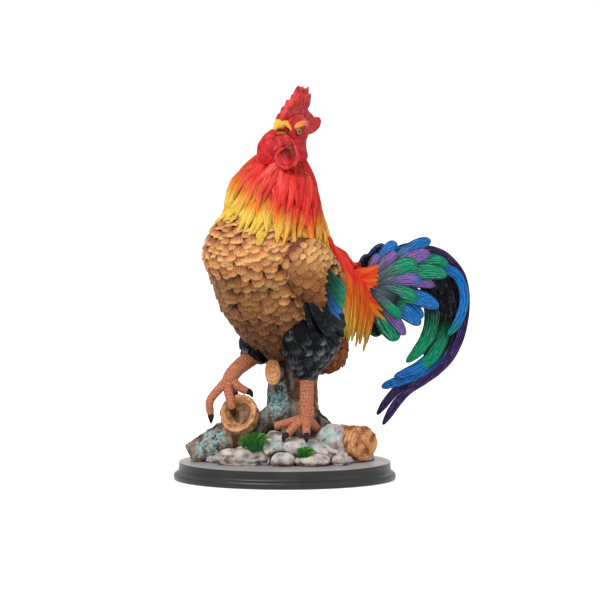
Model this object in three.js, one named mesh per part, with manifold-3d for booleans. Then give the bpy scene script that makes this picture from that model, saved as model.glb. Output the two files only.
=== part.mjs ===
// A painted resin rooster on an oval black plinth, built as the castings and fixings that a workshop would
// make and glue up. Millimetres, +Z up. The origin is the middle of the felt that the figure rests on, and
// -Y is the side that the rooster looks out from.
import * as THREE from 'three';
import { mergeVertices } from 'three/addons/utils/BufferGeometryUtils.js';
import Module from 'manifold-3d';

const wasm = await Module();
wasm.setup();

// Driving dimensions
const GLUE_GAP = 0.3;

const PLINTH_LENGTH = 223;
const PLINTH_DEPTH = 174;
const PLINTH_TOP = 18.5;
const PLINTH_FOOT = 0.5;
const LIP_HEIGHT = 7.2;
const LIP_REACH = 4;
const FELT_THICKNESS = 1.2;
const FELT_INSET = 9;

const SCREW_SPACING_X = 104;
const SCREW_SPACING_Y = 20;
const SCREW_RADIUS = 1.9;
const SCREW_HEAD_RADIUS = 3.8;
const SCREW_HEAD_HEIGHT = 2.6;
const SCREW_LENGTH = 26;
const ROD_RADIUS = 3;
const ROD_ABOVE_TORSO_FOOT = 46;
const NUT_ACROSS_FLATS = 10;
const NUT_HEIGHT = 5;
const WASHER_RADIUS = 7;
const WASHER_THICKNESS = 1.4;
const POCKET_RADIUS = 9;
const POCKET_DEPTH = 8;

const ROCK_HEIGHT = 24;
const STANCE_HEIGHT = 147.5;
const BIRD_TO_BACK = 10;
const BIRD_TURN = 222;
const PIN_RADIUS = 1.6;

const TORSO_HEIGHT = 186;
const TORSO_LENGTH = 144;
const TORSO_BREADTH = 112;
const LEG_ROOT = TORSO_HEIGHT / 3;

const HEAD_TURN = 15;
const HEAD_TO_LEFT = 11.3;
const HEAD_HEIGHT = 0.87 * TORSO_HEIGHT;
const EYE_RADIUS = 4.2;
const COMB_THICKNESS = 8;

const TAIL_TURN = 160;
const TAIL_TO_LEFT = 15;
const TAIL_ROOT = 0.6 * TORSO_LENGTH;
const FAN_THICKNESS = 3.4;
const FAN_LAYER = 13;
const SICKLE_THICKNESS = 3.2;

// Colours of the paint
function paint(color, roughness, metalness = 0) {
  return new THREE.MeshStandardMaterial({ color, roughness, metalness });
}

const PAINT = {
  black_gloss: paint(0x17171a, 0.35),
  felt: paint(0x1c2a20, 0.95),
  steel: paint(0x9a9ca0, 0.35, 0.9),
  rock: paint(0x6d625c, 0.85),
  bark: paint(0x5d615c, 0.85),
  cut_wood: paint(0xb87843, 0.8),
  stone: paint(0x8b8079, 0.85),
  grass: paint(0x1f8a2a, 0.7),
  brown_feather: paint(0xa9683a, 0.6),
  black_feather: paint(0x191b1d, 0.45),
  red_hackle: paint(0xd0302a, 0.5),
  orange_saddle: paint(0xe8702a, 0.5),
  red_skin: paint(0xc0202a, 0.5),
  yellow_beak: paint(0xe0a030, 0.35),
  eye_glass: paint(0x4a4a18, 0.08),
  scaly_leg: paint(0xa35f3d, 0.6),
  green_feather: paint(0x128a5c, 0.4),
  blue_feather: paint(0x2080c8, 0.4),
  purple_feather: paint(0x4a3468, 0.45),
  dark_feather: paint(0x181a28, 0.4),
};

// Solids from geometry, and back

/** A closed geometry, its own vertices shared, as a solid with its faces pointing out. */
function solidFrom(geometry) {
  const plain = geometry.clone();
  plain.deleteAttribute('normal');
  plain.deleteAttribute('uv');
  const merged = mergeVertices(plain, 1e-4);
  const triVerts = Uint32Array.from(merged.index.array);
  const vertProperties = Float32Array.from(merged.attributes.position.array);
  const made = new wasm.Manifold(new wasm.Mesh({ numProp: 3, vertProperties, triVerts }));
  if (made.volume() > 0) return made;
  for (let i = 0; i < triVerts.length; i += 3) {
    [triVerts[i + 1], triVerts[i + 2]] = [triVerts[i + 2], triVerts[i + 1]];
  }
  return new wasm.Manifold(new wasm.Mesh({ numProp: 3, vertProperties, triVerts }));
}

/** A solid's surface as a geometry, for a mesh. */
function geometryFrom(solid) {
  const mesh = solid.getMesh();
  const geometry = new THREE.BufferGeometry();
  geometry.setAttribute('position', new THREE.BufferAttribute(Float32Array.from(mesh.vertProperties), 3));
  geometry.setIndex(new THREE.BufferAttribute(Uint32Array.from(mesh.triVerts), 1));
  geometry.computeVertexNormals();
  return geometry;
}

/** The largest of the bodies that cutting has left. */
function mainBody(solid) {
  return solid.decompose().reduce((most, body) => (body.volume() > most.volume() ? body : most));
}

const joined = (solids) => solids.reduce((sum, solid) => sum.add(solid));

/** A skin through rings of points, closed by a flat fan at each end. */
function skin(rings) {
  const sides = rings[0].length;
  const points = rings.flat();
  const faces = [];
  for (let i = 0; i + 1 < rings.length; i += 1) {
    for (let j = 0; j < sides; j += 1) {
      const a = i * sides + j;
      const b = i * sides + ((j + 1) % sides);
      faces.push(a, b, b + sides, a, b + sides, a + sides);
    }
  }
  [0, rings.length - 1].forEach((i) => {
    const middle = rings[i].reduce((sum, p) => sum.add(p), new THREE.Vector3()).divideScalar(sides);
    const centre = points.push(middle) - 1;
    for (let j = 0; j < sides; j += 1) {
      const a = i * sides + j;
      const b = i * sides + ((j + 1) % sides);
      faces.push(...(i === 0 ? [b, a, centre] : [a, b, centre]));
    }
  });
  return new THREE.BufferGeometry().setFromPoints(points).setIndex(faces);
}

// Frames: a group that is placed and turned, whose own axes are forward, left and up

function frame(parent, x, y, z, turn = 0) {
  const group = new THREE.Group();
  group.position.set(x, y, z);
  group.rotation.z = THREE.MathUtils.degToRad(turn);
  if (parent) parent.add(group);
  group.updateWorldMatrix(true, false);
  return group;
}

const figure = frame(null, 0, 0, 0);
const plinthGroup = frame(figure, 0, 0, 0);
const scenery = frame(figure, 0, 0, PLINTH_TOP);
const bird = frame(figure, 0, BIRD_TO_BACK, PLINTH_TOP + ROCK_HEIGHT + STANCE_HEIGHT, BIRD_TURN);
const legs = frame(bird, 0, 0, -LEG_ROOT);
const head = frame(bird, -0.6, HEAD_TO_LEFT, HEAD_HEIGHT, HEAD_TURN);
const tail = frame(bird, -TAIL_ROOT, TAIL_TO_LEFT, 0, TAIL_TURN);

/** A geometry drawn in a frame's own axes, as a solid in the figure's. */
const solidIn = (group, geometry) => solidFrom(geometry.applyMatrix4(group.matrixWorld));

// Forms. Each takes `grow`, which moves its skin outwards, so that a neighbour can be cut to clear it.

/**
 * A limb, feather or log along a smooth line. A row is [forward, left, up, half width, half thickness], the
 * thickness lying along `face`.
 */
function limb(group, rows, grow = 0, { face = [0, 0, 1], sides = 10, steps = 8 } = {}) {
  const line = new THREE.CatmullRomCurve3(rows.map(([x, y, z]) => new THREE.Vector3(x, y, z)));
  const size = new THREE.CatmullRomCurve3(rows.map(([, , , w, h = w]) => new THREE.Vector3(w, h, 0)));
  const facing = new THREE.Vector3(...face);
  const rings = [];
  for (let i = 0; i <= steps; i += 1) {
    const along = line.getTangent(i / steps);
    const side = new THREE.Vector3().crossVectors(along, facing).normalize();
    const out = new THREE.Vector3().crossVectors(side, along).normalize();
    const reach = size.getPoint(i / steps);
    const end = i === 0 ? -grow : Number(i === steps) * grow;
    const centre = line.getPoint(i / steps).addScaledVector(along, end);
    const ring = [];
    for (let j = 0; j < sides; j += 1) {
      const a = (2 * Math.PI * j) / sides;
      const across = Math.cos(a) * (Math.max(reach.x, 0.5) + grow);
      const through = Math.sin(a) * (Math.max(reach.y, 0.5) + grow);
      ring.push(centre.clone().addScaledVector(side, across).addScaledVector(out, through));
    }
    rings.push(ring);
  }
  return solidIn(group, skin(rings));
}

/**
 * A standing form from level slices. A row is [up, forward shift, left shift, reach to the front, to the
 * back, to the left and to the right]. `ripple` breaks the outline up, as on a rock.
 */
function stack(group, rows, grow = 0, { sides = 20, steps = 12, ripple = 0 } = {}) {
  const place = new THREE.CatmullRomCurve3(rows.map(([z, x, y]) => new THREE.Vector3(x, y, z)));
  const lengthwise = new THREE.CatmullRomCurve3(rows.map((row) => new THREE.Vector3(row[3], row[4], row[0])));
  const sideways = new THREE.CatmullRomCurve3(rows.map((row) => new THREE.Vector3(row[5], row[6], row[0])));
  const rings = [];
  for (let i = 0; i <= steps; i += 1) {
    const t = i / steps;
    const centre = place.getPoint(t);
    const end = i === 0 ? -grow : Number(i === steps) * grow;
    const ring = [];
    for (let j = 0; j < sides; j += 1) {
      const a = (2 * Math.PI * j) / sides;
      const forward = Math.cos(a) > 0 ? lengthwise.getPoint(t).x : lengthwise.getPoint(t).y;
      const left = Math.sin(a) > 0 ? sideways.getPoint(t).x : sideways.getPoint(t).y;
      const rough = 1 + ripple * (Math.sin(3 * a + centre.z) + 0.6 * Math.sin(7 * a + 2));
      const x = centre.x + Math.cos(a) * (Math.max(forward, 0.5) * rough + grow);
      const y = centre.y + Math.sin(a) * (Math.max(left, 0.5) * rough + grow);
      ring.push(new THREE.Vector3(x, y, centre.z + end));
    }
    rings.push(ring);
  }
  return solidIn(group, skin(rings));
}

/** A round bar between two points. */
function bar(group, from, to, radius, sides = 12) {
  const a = new THREE.Vector3(...from);
  const b = new THREE.Vector3(...to);
  const geometry = new THREE.CylinderGeometry(radius, radius, a.distanceTo(b), sides);
  const along = b.clone().sub(a).normalize();
  const turn = new THREE.Quaternion().setFromUnitVectors(new THREE.Vector3(0, 1, 0), along);
  geometry.applyQuaternion(turn).translate(...a.add(b).divideScalar(2).toArray());
  return solidIn(group, geometry);
}

/** An oval turned form: a row of the profile is [reach past the plinth's top oval, up]. */
function oval(profile, sides = 36) {
  const rings = profile.map(([reach, z]) => Array.from({ length: sides }, (_, j) => {
    const a = (2 * Math.PI * j) / sides;
    const x = Math.cos(a) * (PLINTH_LENGTH / 2 + reach);
    const y = Math.sin(a) * (PLINTH_DEPTH / 2 + reach);
    return new THREE.Vector3(x, y, z);
  }));
  return solidIn(plinthGroup, skin(rings));
}

/** A slab in the frame's forward-up plane, with rounded edges, centred on that plane. */
function slab(group, outline, thickness, grow = 0) {
  const shape = new THREE.Shape();
  shape.splineThru(outline.map(([x, z]) => new THREE.Vector2(x, z)));
  const bevel = thickness / 4;
  const geometry = new THREE.ExtrudeGeometry(shape, {
    depth: thickness - 2 * bevel,
    bevelThickness: bevel + grow,
    bevelSize: grow,
    bevelOffset: 0,
    bevelSegments: 2,
    curveSegments: 2,
  });
  geometry.translate(0, 0, -(thickness - 2 * bevel) / 2).rotateX(Math.PI / 2);
  return solidIn(group, geometry);
}

// Plinth

const ROD_X = 12;
const ROD_Y = BIRD_TO_BACK + 10;

const LIP_PROFILE = [
  [-1.4, PLINTH_FOOT],
  [-0.2, PLINTH_FOOT + 0.25 * LIP_HEIGHT],
  [0, PLINTH_FOOT + 0.5 * LIP_HEIGHT],
  [-0.8, PLINTH_FOOT + 0.8 * LIP_HEIGHT],
  [-0.6 * LIP_REACH, PLINTH_FOOT + LIP_HEIGHT],
  [-LIP_REACH, PLINTH_FOOT + 1.1 * LIP_HEIGHT],
  [-LIP_REACH - 1.2, PLINTH_TOP - 6],
  [-LIP_REACH - 1.5, PLINTH_TOP - 2.5],
  [-LIP_REACH - 1.3, PLINTH_TOP - 0.8],
  [-LIP_REACH - 2.2, PLINTH_TOP],
];

const screwPlaces = [-0.5, 0.5].flatMap((x) => [-0.5, 0.5].map((y) => [
  x * SCREW_SPACING_X,
  y * SCREW_SPACING_Y,
]));

function screw([x, y], grow = 0) {
  const profile = [
    [0, 0],
    [SCREW_HEAD_RADIUS + grow, 0],
    [SCREW_RADIUS + grow, SCREW_HEAD_HEIGHT],
    [SCREW_RADIUS + grow, SCREW_LENGTH - 3],
    [0, SCREW_LENGTH + grow],
  ];
  const geometry = new THREE.LatheGeometry(profile.map(([r, z]) => new THREE.Vector2(r, z)), 10);
  geometry.rotateX(Math.PI / 2).translate(x, y, FELT_THICKNESS);
  return solidIn(plinthGroup, geometry);
}

const torsoFoot = bird.position.z - 0.41 * TORSO_HEIGHT;
const pocketTop = FELT_THICKNESS + POCKET_DEPTH;
const rodFrom = [ROD_X, ROD_Y, FELT_THICKNESS + 1];
const rodTo = [ROD_X, ROD_Y, torsoFoot + ROD_ABOVE_TORSO_FOOT];

const centreRod = (grow = 0) => bar(plinthGroup, rodFrom, [ROD_X, ROD_Y, rodTo[2] + grow], ROD_RADIUS + grow);

function washer() {
  const top = pocketTop;
  const foot = [ROD_X, ROD_Y, top - WASHER_THICKNESS];
  const disc = bar(plinthGroup, foot, [ROD_X, ROD_Y, top], WASHER_RADIUS, 24);
  return disc.subtract(centreRod(GLUE_GAP));
}

function nut() {
  const top = pocketTop - WASHER_THICKNESS;
  const across = NUT_ACROSS_FLATS / 2 / Math.cos(Math.PI / 6);
  const hexagon = bar(plinthGroup, [ROD_X, ROD_Y, top - NUT_HEIGHT], [ROD_X, ROD_Y, top], across, 6);
  return hexagon.subtract(centreRod(GLUE_GAP));
}

function plinth() {
  const pocket = bar(plinthGroup, [ROD_X, ROD_Y, -1], [ROD_X, ROD_Y, pocketTop], POCKET_RADIUS, 24);
  const recess = oval([[-FELT_INSET + GLUE_GAP, -1], [-FELT_INSET + GLUE_GAP, FELT_THICKNESS]]);
  const holes = screwPlaces.map((place) => screw(place, GLUE_GAP));
  return oval(LIP_PROFILE).subtract(joined([pocket, recess, centreRod(GLUE_GAP), ...holes]));
}

const felt = () => oval([[-FELT_INSET, 0], [-FELT_INSET, FELT_THICKNESS]]);

// Scenery, in a frame on the plinth's top: forward is +X

const ROCK_ROWS = [
  [0, 0, 6, 90, 91, 42, 44],
  [0.3, 0, 6, 88, 88, 41, 45],
  [0.65, 2, 4, 62, 55, 36, 44],
  [0.9, 4, 2, 44, 40, 30, 42],
  [1, 4, 0, 32, 30, 22, 36],
];
const TOE_ROCK = [[10, -8, -8, 6, 6, 6, 6], [20, -8, -10, 17, 15, 14, 13], [31, -8, -10, 9, 9, 8, 8]];
const TOE_ROCK_TOP = 31;

function rockwork(grow = 0) {
  const mound = stack(scenery, ROCK_ROWS.map(([up, ...rest]) => [up * ROCK_HEIGHT, ...rest]), grow, {
    sides: 17,
    steps: 5,
    ripple: 0.03,
  });
  const perch = TOE_ROCK.map(([up, ...rest]) => [up + ROCK_HEIGHT - TOE_ROCK_TOP + 7, ...rest]);
  return mound.add(stack(scenery, perch, grow, { steps: 4, sides: 12, ripple: 0.04 }));
}

// A row of a boulder is [forward, left, half length, half depth, height].
const STONES = {
  stone_long: [-41, -31, 29, 12, 17.5],
  stone_middle: [-2, -38, 13.5, 11, 13.5],
  stone_lichened: [27.5, -38, 18.5, 11, 12],
  stone_small: [55.5, -32, 10, 9, 11.5],
  rock_lichened: [48, -3, 20, 20, 38],
};

function boulder([x, y, length, depth, height], grow = 0) {
  const rows = [[0, 0.86], [0.3, 1], [0.65, 0.93], [0.9, 0.62], [1, 0.3]].map(([up, reach]) => [
    up * height,
    x,
    y,
    reach * length,
    reach * length,
    reach * depth,
    reach * depth,
  ]);
  return stack(scenery, rows, grow, { sides: 12, steps: 4, ripple: 0.035 });
}

const FALLEN_LOG = [
  [-94, 2, 4, 13],
  [-80, 2, 11, 15],
  [-62, 3, 20, 18],
  [-42, 6, 25, 19],
  [-24, 12, 24, 17],
];
const HOLLOW_LIMB = [[-34, 14, 32, 15], [-42, -2, 44, 18], [-47, -14, 50, 20.5]];
const HOLLOW_BORE = [[-42, -4, 45, 8], [-45, -10, 48, 13], [-48, -17, 51.5, 16]];

/** Everything below the plinth's top, which logs are cut flat by. */
const belowPlinthTop = () => solidFrom(
  new THREE.BoxGeometry(2 * PLINTH_LENGTH, 2 * PLINTH_DEPTH, PLINTH_LENGTH).translate(
    0,
    0,
    PLINTH_TOP - PLINTH_LENGTH / 2,
  ),
);

function hollowLog(grow = 0) {
  const wood = limb(scenery, FALLEN_LOG, grow, { sides: 12, steps: 6 }).add(limb(scenery, HOLLOW_LIMB, grow, {
    sides: 14,
    steps: 4,
  }));
  const hollow = limb(scenery, HOLLOW_BORE, 0, { sides: 14, steps: 3 });
  return grow ? wood : wood.subtract(hollow).subtract(belowPlinthTop());
}

const CUT_LOG = [[40, 26, 15, 15], [54, 14, 17, 17], [68, -1, 18.5, 17.5], [80, -14, 19, 17.5]];

const cutLog = (grow = 0) => {
  const wood = limb(scenery, CUT_LOG, grow, { sides: 16, steps: 3 });
  return grow ? wood : wood.subtract(belowPlinthTop());
};

const STUMP_TOP_ROOM = 22;
const stumpHeight = torsoFoot - PLINTH_TOP + STUMP_TOP_ROOM;
const TRUNK_ROWS = [
  [0, 10, 22, 36, 34, 24, 24],
  [0.22, 9, 21, 30, 31, 23, 24],
  [0.45, 7, 21, 26, 26, 22, 22],
  [0.7, 8, 22, 25, 25, 21, 22],
  [0.9, 11, 22, 27, 27, 22, 21],
  [1, 12, 22, 26, 25, 21, 20],
];
const LEFT_ROOT = [[-4, 10, 50, 14, 13], [-22, 2, 38, 11], [-38, -2, 26, 8], [-50, -2, 16, 7]];
const RIGHT_ROOT = [[22, 16, 46, 13, 12], [40, 12, 30, 10], [56, 10, 18, 8]];
const STUB = [[4, 14, 84, 8, 12], [-6, -2, 90, 8, 13], [-11, -11, 92, 7.5, 13]];

function stump(grow = 0) {
  const trunk = stack(scenery, TRUNK_ROWS.map(([up, ...rest]) => [up * stumpHeight, ...rest]), grow, {
    sides: 14,
    steps: 7,
    ripple: 0.035,
  });
  return joined([
    trunk,
    limb(scenery, LEFT_ROOT, grow, { sides: 8, steps: 5 }),
    limb(scenery, RIGHT_ROOT, grow, { sides: 8, steps: 4 }),
    limb(scenery, STUB, grow, { sides: 14, steps: 4 }),
  ]);
}

// A tuft's row is [forward, left, up, reach, number of blades].
const TUFTS = { grass_large: [-30, -34, 21, 12, 9], grass_small: [20, -42, 13, 7, 5] };

function tuft([x, y, z, reach, blades], grow = 0) {
  const heart = [[x, y, z - 6, 0.8 * reach, 0.6 * reach], [x, y - 1, z + 2, 0.5 * reach]];
  const root = limb(scenery, heart, grow, {
    face: [0, 1, 0],
    steps: 2,
  });
  const leaves = Array.from({ length: blades }, (_, i) => {
    const a = Math.PI * (0.05 + (0.9 * i) / (blades - 1));
    const lean = reach * Math.cos(a);
    const rise = reach * (0.55 + 0.6 * Math.sin(a));
    return limb(scenery, [
      [x + 0.3 * lean, y, z - 2, 1.6, 1],
      [x + 0.7 * lean, y - 2, z + 0.6 * rise, 1.4, 0.9],
      [x + 1.1 * lean, y - 4, z + rise, 0.5, 0.5],
    ], grow, { face: [0, 1, 0], sides: 4, steps: 2 });
  });
  return joined([root, ...leaves]);
}

// Torso. Slices are shares of its height, length and breadth.

const TORSO_ROWS = [
  [-0.41, -0.15, 0.1, 0.11, 0.12, 0.12],
  [-0.35, -0.14, 0.27, 0.28, 0.28, 0.28],
  [-0.22, -0.035, 0.4, 0.43, 0.42, 0.42],
  [-0.05, 0.02, 0.47, 0.48, 0.49, 0.49],
  [0.08, 0.075, 0.5, 0.5, 0.5, 0.5],
  [0.22, 0.14, 0.49, 0.47, 0.49, 0.5],
  [0.325, 0.165, 0.42, 0.4, 0.42, 0.47],
  [0.41, 0.15, 0.32, 0.31, 0.34, 0.4],
  [0.45, 0.13, 0.25, 0.25, 0.3, 0.33],
  [0.51, 0.09, 0.16, 0.17, 0.2, 0.2],
  [0.57, 0.06, 0.06, 0.06, 0.08, 0.08],
];
const RUMP_ROWS = [
  [-0.12, 0, 0.02, 0.42, 0.3],
  [-0.34, 0.02, 0.02, 0.35, 0.2],
  [-0.46, 0.05, 0, 0.28, 0.13],
  [-0.56, 0.09, 0, 0.2, 0.08],
];
const VENT_ROWS = [
  [-0.22, 0.04, -0.18, 0.26, 0.2],
  [-0.34, 0.05, -0.34, 0.2, 0.15],
  [-0.37, 0.05, -0.45, 0.11, 0.1],
];

/** Rows of shares [length, breadth, height, breadth, height] in millimetres. */
const torsoShares = (rows) => rows.map(([x, y, z, wide, thick]) => [
  x * TORSO_LENGTH,
  y * TORSO_BREADTH,
  z * TORSO_HEIGHT,
  wide * TORSO_BREADTH,
  thick * TORSO_HEIGHT,
]);

const torsoSlices = TORSO_ROWS.map(([up, shift, front, back, left, right]) => [
  up * TORSO_HEIGHT,
  shift * TORSO_LENGTH,
  0,
  front * TORSO_LENGTH,
  back * TORSO_LENGTH,
  left * TORSO_BREADTH,
  right * TORSO_BREADTH,
]);

/** The slice of a stack at a height between its slices. */
function sliceAt(slices, up) {
  const above = THREE.MathUtils.clamp(slices.findIndex((slice) => slice[0] > up), 1, slices.length - 1);
  const [lower, upper] = [slices[above - 1], slices[above]];
  const t = THREE.MathUtils.clamp((up - lower[0]) / (upper[0] - lower[0]), 0, 1);
  return upper.map((v, i) => THREE.MathUtils.lerp(lower[i], v, t));
}

// The breast's scales hang in tiers. A tier is [height of its ledge as a share of the torso's, how far the
// ledge stands out].
const BREAST_TIERS = [[0.145, 4.6], [-0.12, 3.6]];
const TIER_SHARE = 0.17;

/** A tier of the breast: it stands out at its ledge, and meets the torso again above it. */
function breastTier([ledge, stand], grow) {
  const rows = [[0, stand], [0.35, 0.7 * stand], [1, -1.5]].map(([share, lift]) => {
    const up = (ledge + share * TIER_SHARE) * TORSO_HEIGHT;
    const [, x, y, front, back, left, right] = sliceAt(torsoSlices, up);
    return [up, x, y, front + lift, 0.7 * back, left + 0.3 * lift, right + 0.3 * lift];
  });
  return stack(bird, rows, grow, { sides: 18, steps: 2 });
}

function torso(grow = 0) {
  return joined([
    stack(bird, torsoSlices, grow, { sides: 18, steps: 11 }),
    ...BREAST_TIERS.map((tier) => breastTier(tier, grow)),
    limb(bird, torsoShares(RUMP_ROWS), grow, { sides: 12, steps: 4 }),
    limb(bird, torsoShares(VENT_ROWS), grow, { face: [1, 0, 0], sides: 12, steps: 4 }),
  ]);
}

// Legs, in a frame at their root that hangs from the middle of the torso

const LEFT_HIP = 33;
const RIGHT_HIP = -27;
const toGround = LEG_ROOT - STANCE_HEIGHT;

const LEFT_THIGH = [
  [-8, LEFT_HIP - 8, 60, 26, 16],
  [-5, LEFT_HIP - 3, 34, 40, 26],
  [-3, LEFT_HIP - 1, 12, 37, 25],
  [-1, LEFT_HIP, -6, 24, 19],
  [0, LEFT_HIP, -18, 12, 11],
  [0, LEFT_HIP, -24, 8.5, 8.5],
];
const RIGHT_THIGH = [
  [-6, RIGHT_HIP + 6, 36, 24, 16],
  [4, RIGHT_HIP, 18, 26, 21],
  [13, RIGHT_HIP, 2, 19, 17],
  [18, RIGHT_HIP, -9, 11, 11],
];

const thighLeft = (grow = 0) => limb(legs, LEFT_THIGH, grow, { face: [0, 1, 0], sides: 14, steps: 8 });
const thighRight = (grow = 0) => limb(legs, RIGHT_THIGH, grow, { face: [0, 1, 0], sides: 14, steps: 7 });

const SHANK_RADIUS = 6.6;
const TOE_RADIUS = 4.4;
const CLAW_LENGTH = 7;
const ANKLE_HEIGHT = 21;

/** A toe with its claw: the last point of the line is where the claw starts. */
function toe(line, grow = 0) {
  const last = line.length - 1;
  const rows = line.map((point, i) => [...point, TOE_RADIUS * (1 - 0.22 * (i / last))]);
  const [from, to] = [line[last - 1], line[last]].map((point) => new THREE.Vector3(...point));
  const point = to.clone().addScaledVector(to.clone().sub(from).normalize(), CLAW_LENGTH);
  point.z -= 0.45 * CLAW_LENGTH;
  const face = Math.abs(to.z - from.z) > 10 ? [0, 1, 0] : [0, 0, 1];
  const flesh = limb(legs, rows, grow, { sides: 7, steps: 4, face });
  const claw = limb(legs, [[...line[last], 0.72 * TOE_RADIUS], [...point.toArray(), 0.8]], grow, {
    sides: 6,
    steps: 2,
    face,
  });
  return flesh.add(claw);
}

const ankleLeft = [0, LEFT_HIP, toGround + ANKLE_HEIGHT];
const LEFT_TOES = [
  [ankleLeft, [15, LEFT_HIP - 9, toGround + 17], [29, LEFT_HIP - 18, toGround + 13]],
  [ankleLeft, [16, LEFT_HIP, toGround + 14], [28, LEFT_HIP + 1, toGround + 6]],
  [ankleLeft, [8, LEFT_HIP + 8, toGround + 14], [14, LEFT_HIP + 15, toGround + 6]],
  [ankleLeft, [-12, LEFT_HIP - 2, toGround + 12], [-20, LEFT_HIP - 4, toGround + 6]],
];
const RAISED_SHANK = [
  [6, RIGHT_HIP, 0, 8],
  [22, RIGHT_HIP, -8, 8.4],
  [38, RIGHT_HIP, -16, 7.6],
  [50, RIGHT_HIP, -26, 7],
];
const raisedJoint = [49, RIGHT_HIP, -25];
const RIGHT_TOES = [
  [raisedJoint, [60, RIGHT_HIP - 3, -35], [69, RIGHT_HIP - 8, -48], [68, RIGHT_HIP - 8, -62]],
  [raisedJoint, [54, RIGHT_HIP + 2, -36], [54, RIGHT_HIP + 6, -48], [52, RIGHT_HIP + 7, -56]],
  [raisedJoint, [46, RIGHT_HIP + 7, -33], [38, RIGHT_HIP + 13, -39]],
  [raisedJoint, [44, RIGHT_HIP - 7, -35], [36, RIGHT_HIP - 9, -42]],
];

function legLeft(grow = 0) {
  const top = LEFT_THIGH[4][2];
  const shank = limb(legs, [
    [...ankleLeft, SHANK_RADIUS + 0.6],
    [0, LEFT_HIP, toGround + ANKLE_HEIGHT + 12, SHANK_RADIUS],
    [0, LEFT_HIP, top, SHANK_RADIUS + 1],
  ], grow, { face: [1, 0, 0], sides: 12, steps: 5 });
  return joined([shank, ...LEFT_TOES.map((line) => toe(line, grow))]);
}

const legRight = (grow = 0) => joined([
  limb(legs, RAISED_SHANK, grow, { sides: 12, steps: 6 }),
  ...RIGHT_TOES.map((line) => toe(line, grow)),
]);

// Wings: a shoulder, then a layer of coverts and one of flight feathers that stand out behind and below it

const WING_ROWS = [
  [36, 49, 50, 12, 6],
  [27, 56, 38, 25, 11],
  [10, 60, 18, 28, 13],
  [-8, 58, 0, 22, 11],
  [-20, 54, -14, 12, 8],
];
// A wing feather's row is [start forward, start up, end forward, end up, half width, layer].
const WING_FEATHERS = [
  [6, 24, -24, -4, 8, 1],
  [4, 14, -26, -14, 8, 1],
  [2, 4, -26, -24, 8, 1],
  [10, 6, -36, -36, 8, 0],
  [16, 2, -34, -46, 8, 0],
  [22, -2, -24, -54, 8, 0],
];
const WING_SURFACE = 58;

function wing(side, grow = 0) {
  const across = (rows) => rows.map(([x, y, ...rest]) => [x, side * y, ...rest]);
  const shoulder = limb(bird, across(WING_ROWS), grow, { face: [0, 1, 0], sides: 14, steps: 7 });
  const feathers = WING_FEATHERS.map(([x0, z0, x1, z1, wide, layer]) => {
    const y = WING_SURFACE + 2 * layer;
    return limb(bird, across([
      [x0, y, z0, 0.8 * wide, 3],
      [(x0 + x1) / 2, y + 1, (z0 + z1) / 2, wide, 3.2],
      [x1, y - 8, z1, 0.4 * wide, 2],
    ]), grow, { face: [0, 1, 0], sides: 5, steps: 4 });
  });
  return joined([shoulder, ...feathers]);
}

// Neck: a core that flares over the shoulders, with locks of hackles that run down it, part below it and lie
// on the torso. The hem is highest over the breast, on the side that the head is turned from.

const NECK_ROWS = [
  [0.41, 19, 0, 48, 48, 43, 45],
  [0.46, 17, 1, 45, 44, 42, 42],
  [0.53, 16, 0, 42.5, 42.5, 42.5, 42.5],
  [0.62, 11, -2, 36, 36, 36, 36],
  [0.67, 7, -3, 29, 30, 30, 30],
  [0.715, 3.5, -1.5, 22, 24, 24, 24],
  [0.75, 1, 1, 17, 20, 20, 20],
];
const neckSlices = NECK_ROWS.map(([up, ...rest]) => [up * TORSO_HEIGHT, ...rest]);
const HACKLES = 15;
const LONG_LOCK_ROOT = 0.68;
const SHORT_LOCK_ROOT = 0.62;
const HEM_HEIGHT = 62;
const HEM_SLANT = 18;
const HEM_HIGH_SIDE = -60;

/** A point on the skin of a stack's slices, raised by `lift`. */
function onSlices(slices, angle, up, lift) {
  const [, x, y, front, back, left, right] = sliceAt(slices, up);
  const lengthwise = (Math.cos(angle) > 0 ? front : back) + lift;
  const sideways = (Math.sin(angle) > 0 ? left : right) + lift;
  return [x + Math.cos(angle) * lengthwise, y + Math.sin(angle) * sideways, up];
}

function neck(grow = 0) {
  const core = stack(bird, neckSlices, grow, { sides: 15, steps: 6 });
  const tips = Array.from({ length: HACKLES }, (_, i) => {
    const a = (2 * Math.PI * i) / HACKLES;
    const slant = HEM_SLANT * Math.cos(a - THREE.MathUtils.degToRad(HEM_HIGH_SIDE));
    const hem = HEM_HEIGHT + slant + 5 * Math.sin(2.4 * i);
    const root = (i % 2 ? SHORT_LOCK_ROOT : LONG_LOCK_ROOT) * TORSO_HEIGHT;
    const top = 0.53 * TORSO_HEIGHT;
    return limb(bird, [
      [...onSlices(neckSlices, a, root, -1.5), 4.5, 2],
      [...onSlices(neckSlices, a, (root + top) / 2, 0.5), 7, 2.8],
      [...onSlices(neckSlices, a, (hem + top) / 2, 1), 9, 3.4],
      [...onSlices(torsoSlices, a, hem + 8, 2.5), 7, 2.5],
      [...onSlices(torsoSlices, a, hem, 2), 1.5, 1.5],
    ], grow, { face: [Math.cos(a), Math.sin(a), 0], sides: 4, steps: 4 });
  });
  return joined([core, ...tips]);
}

// Head, in its own frame: forward along the beak

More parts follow.
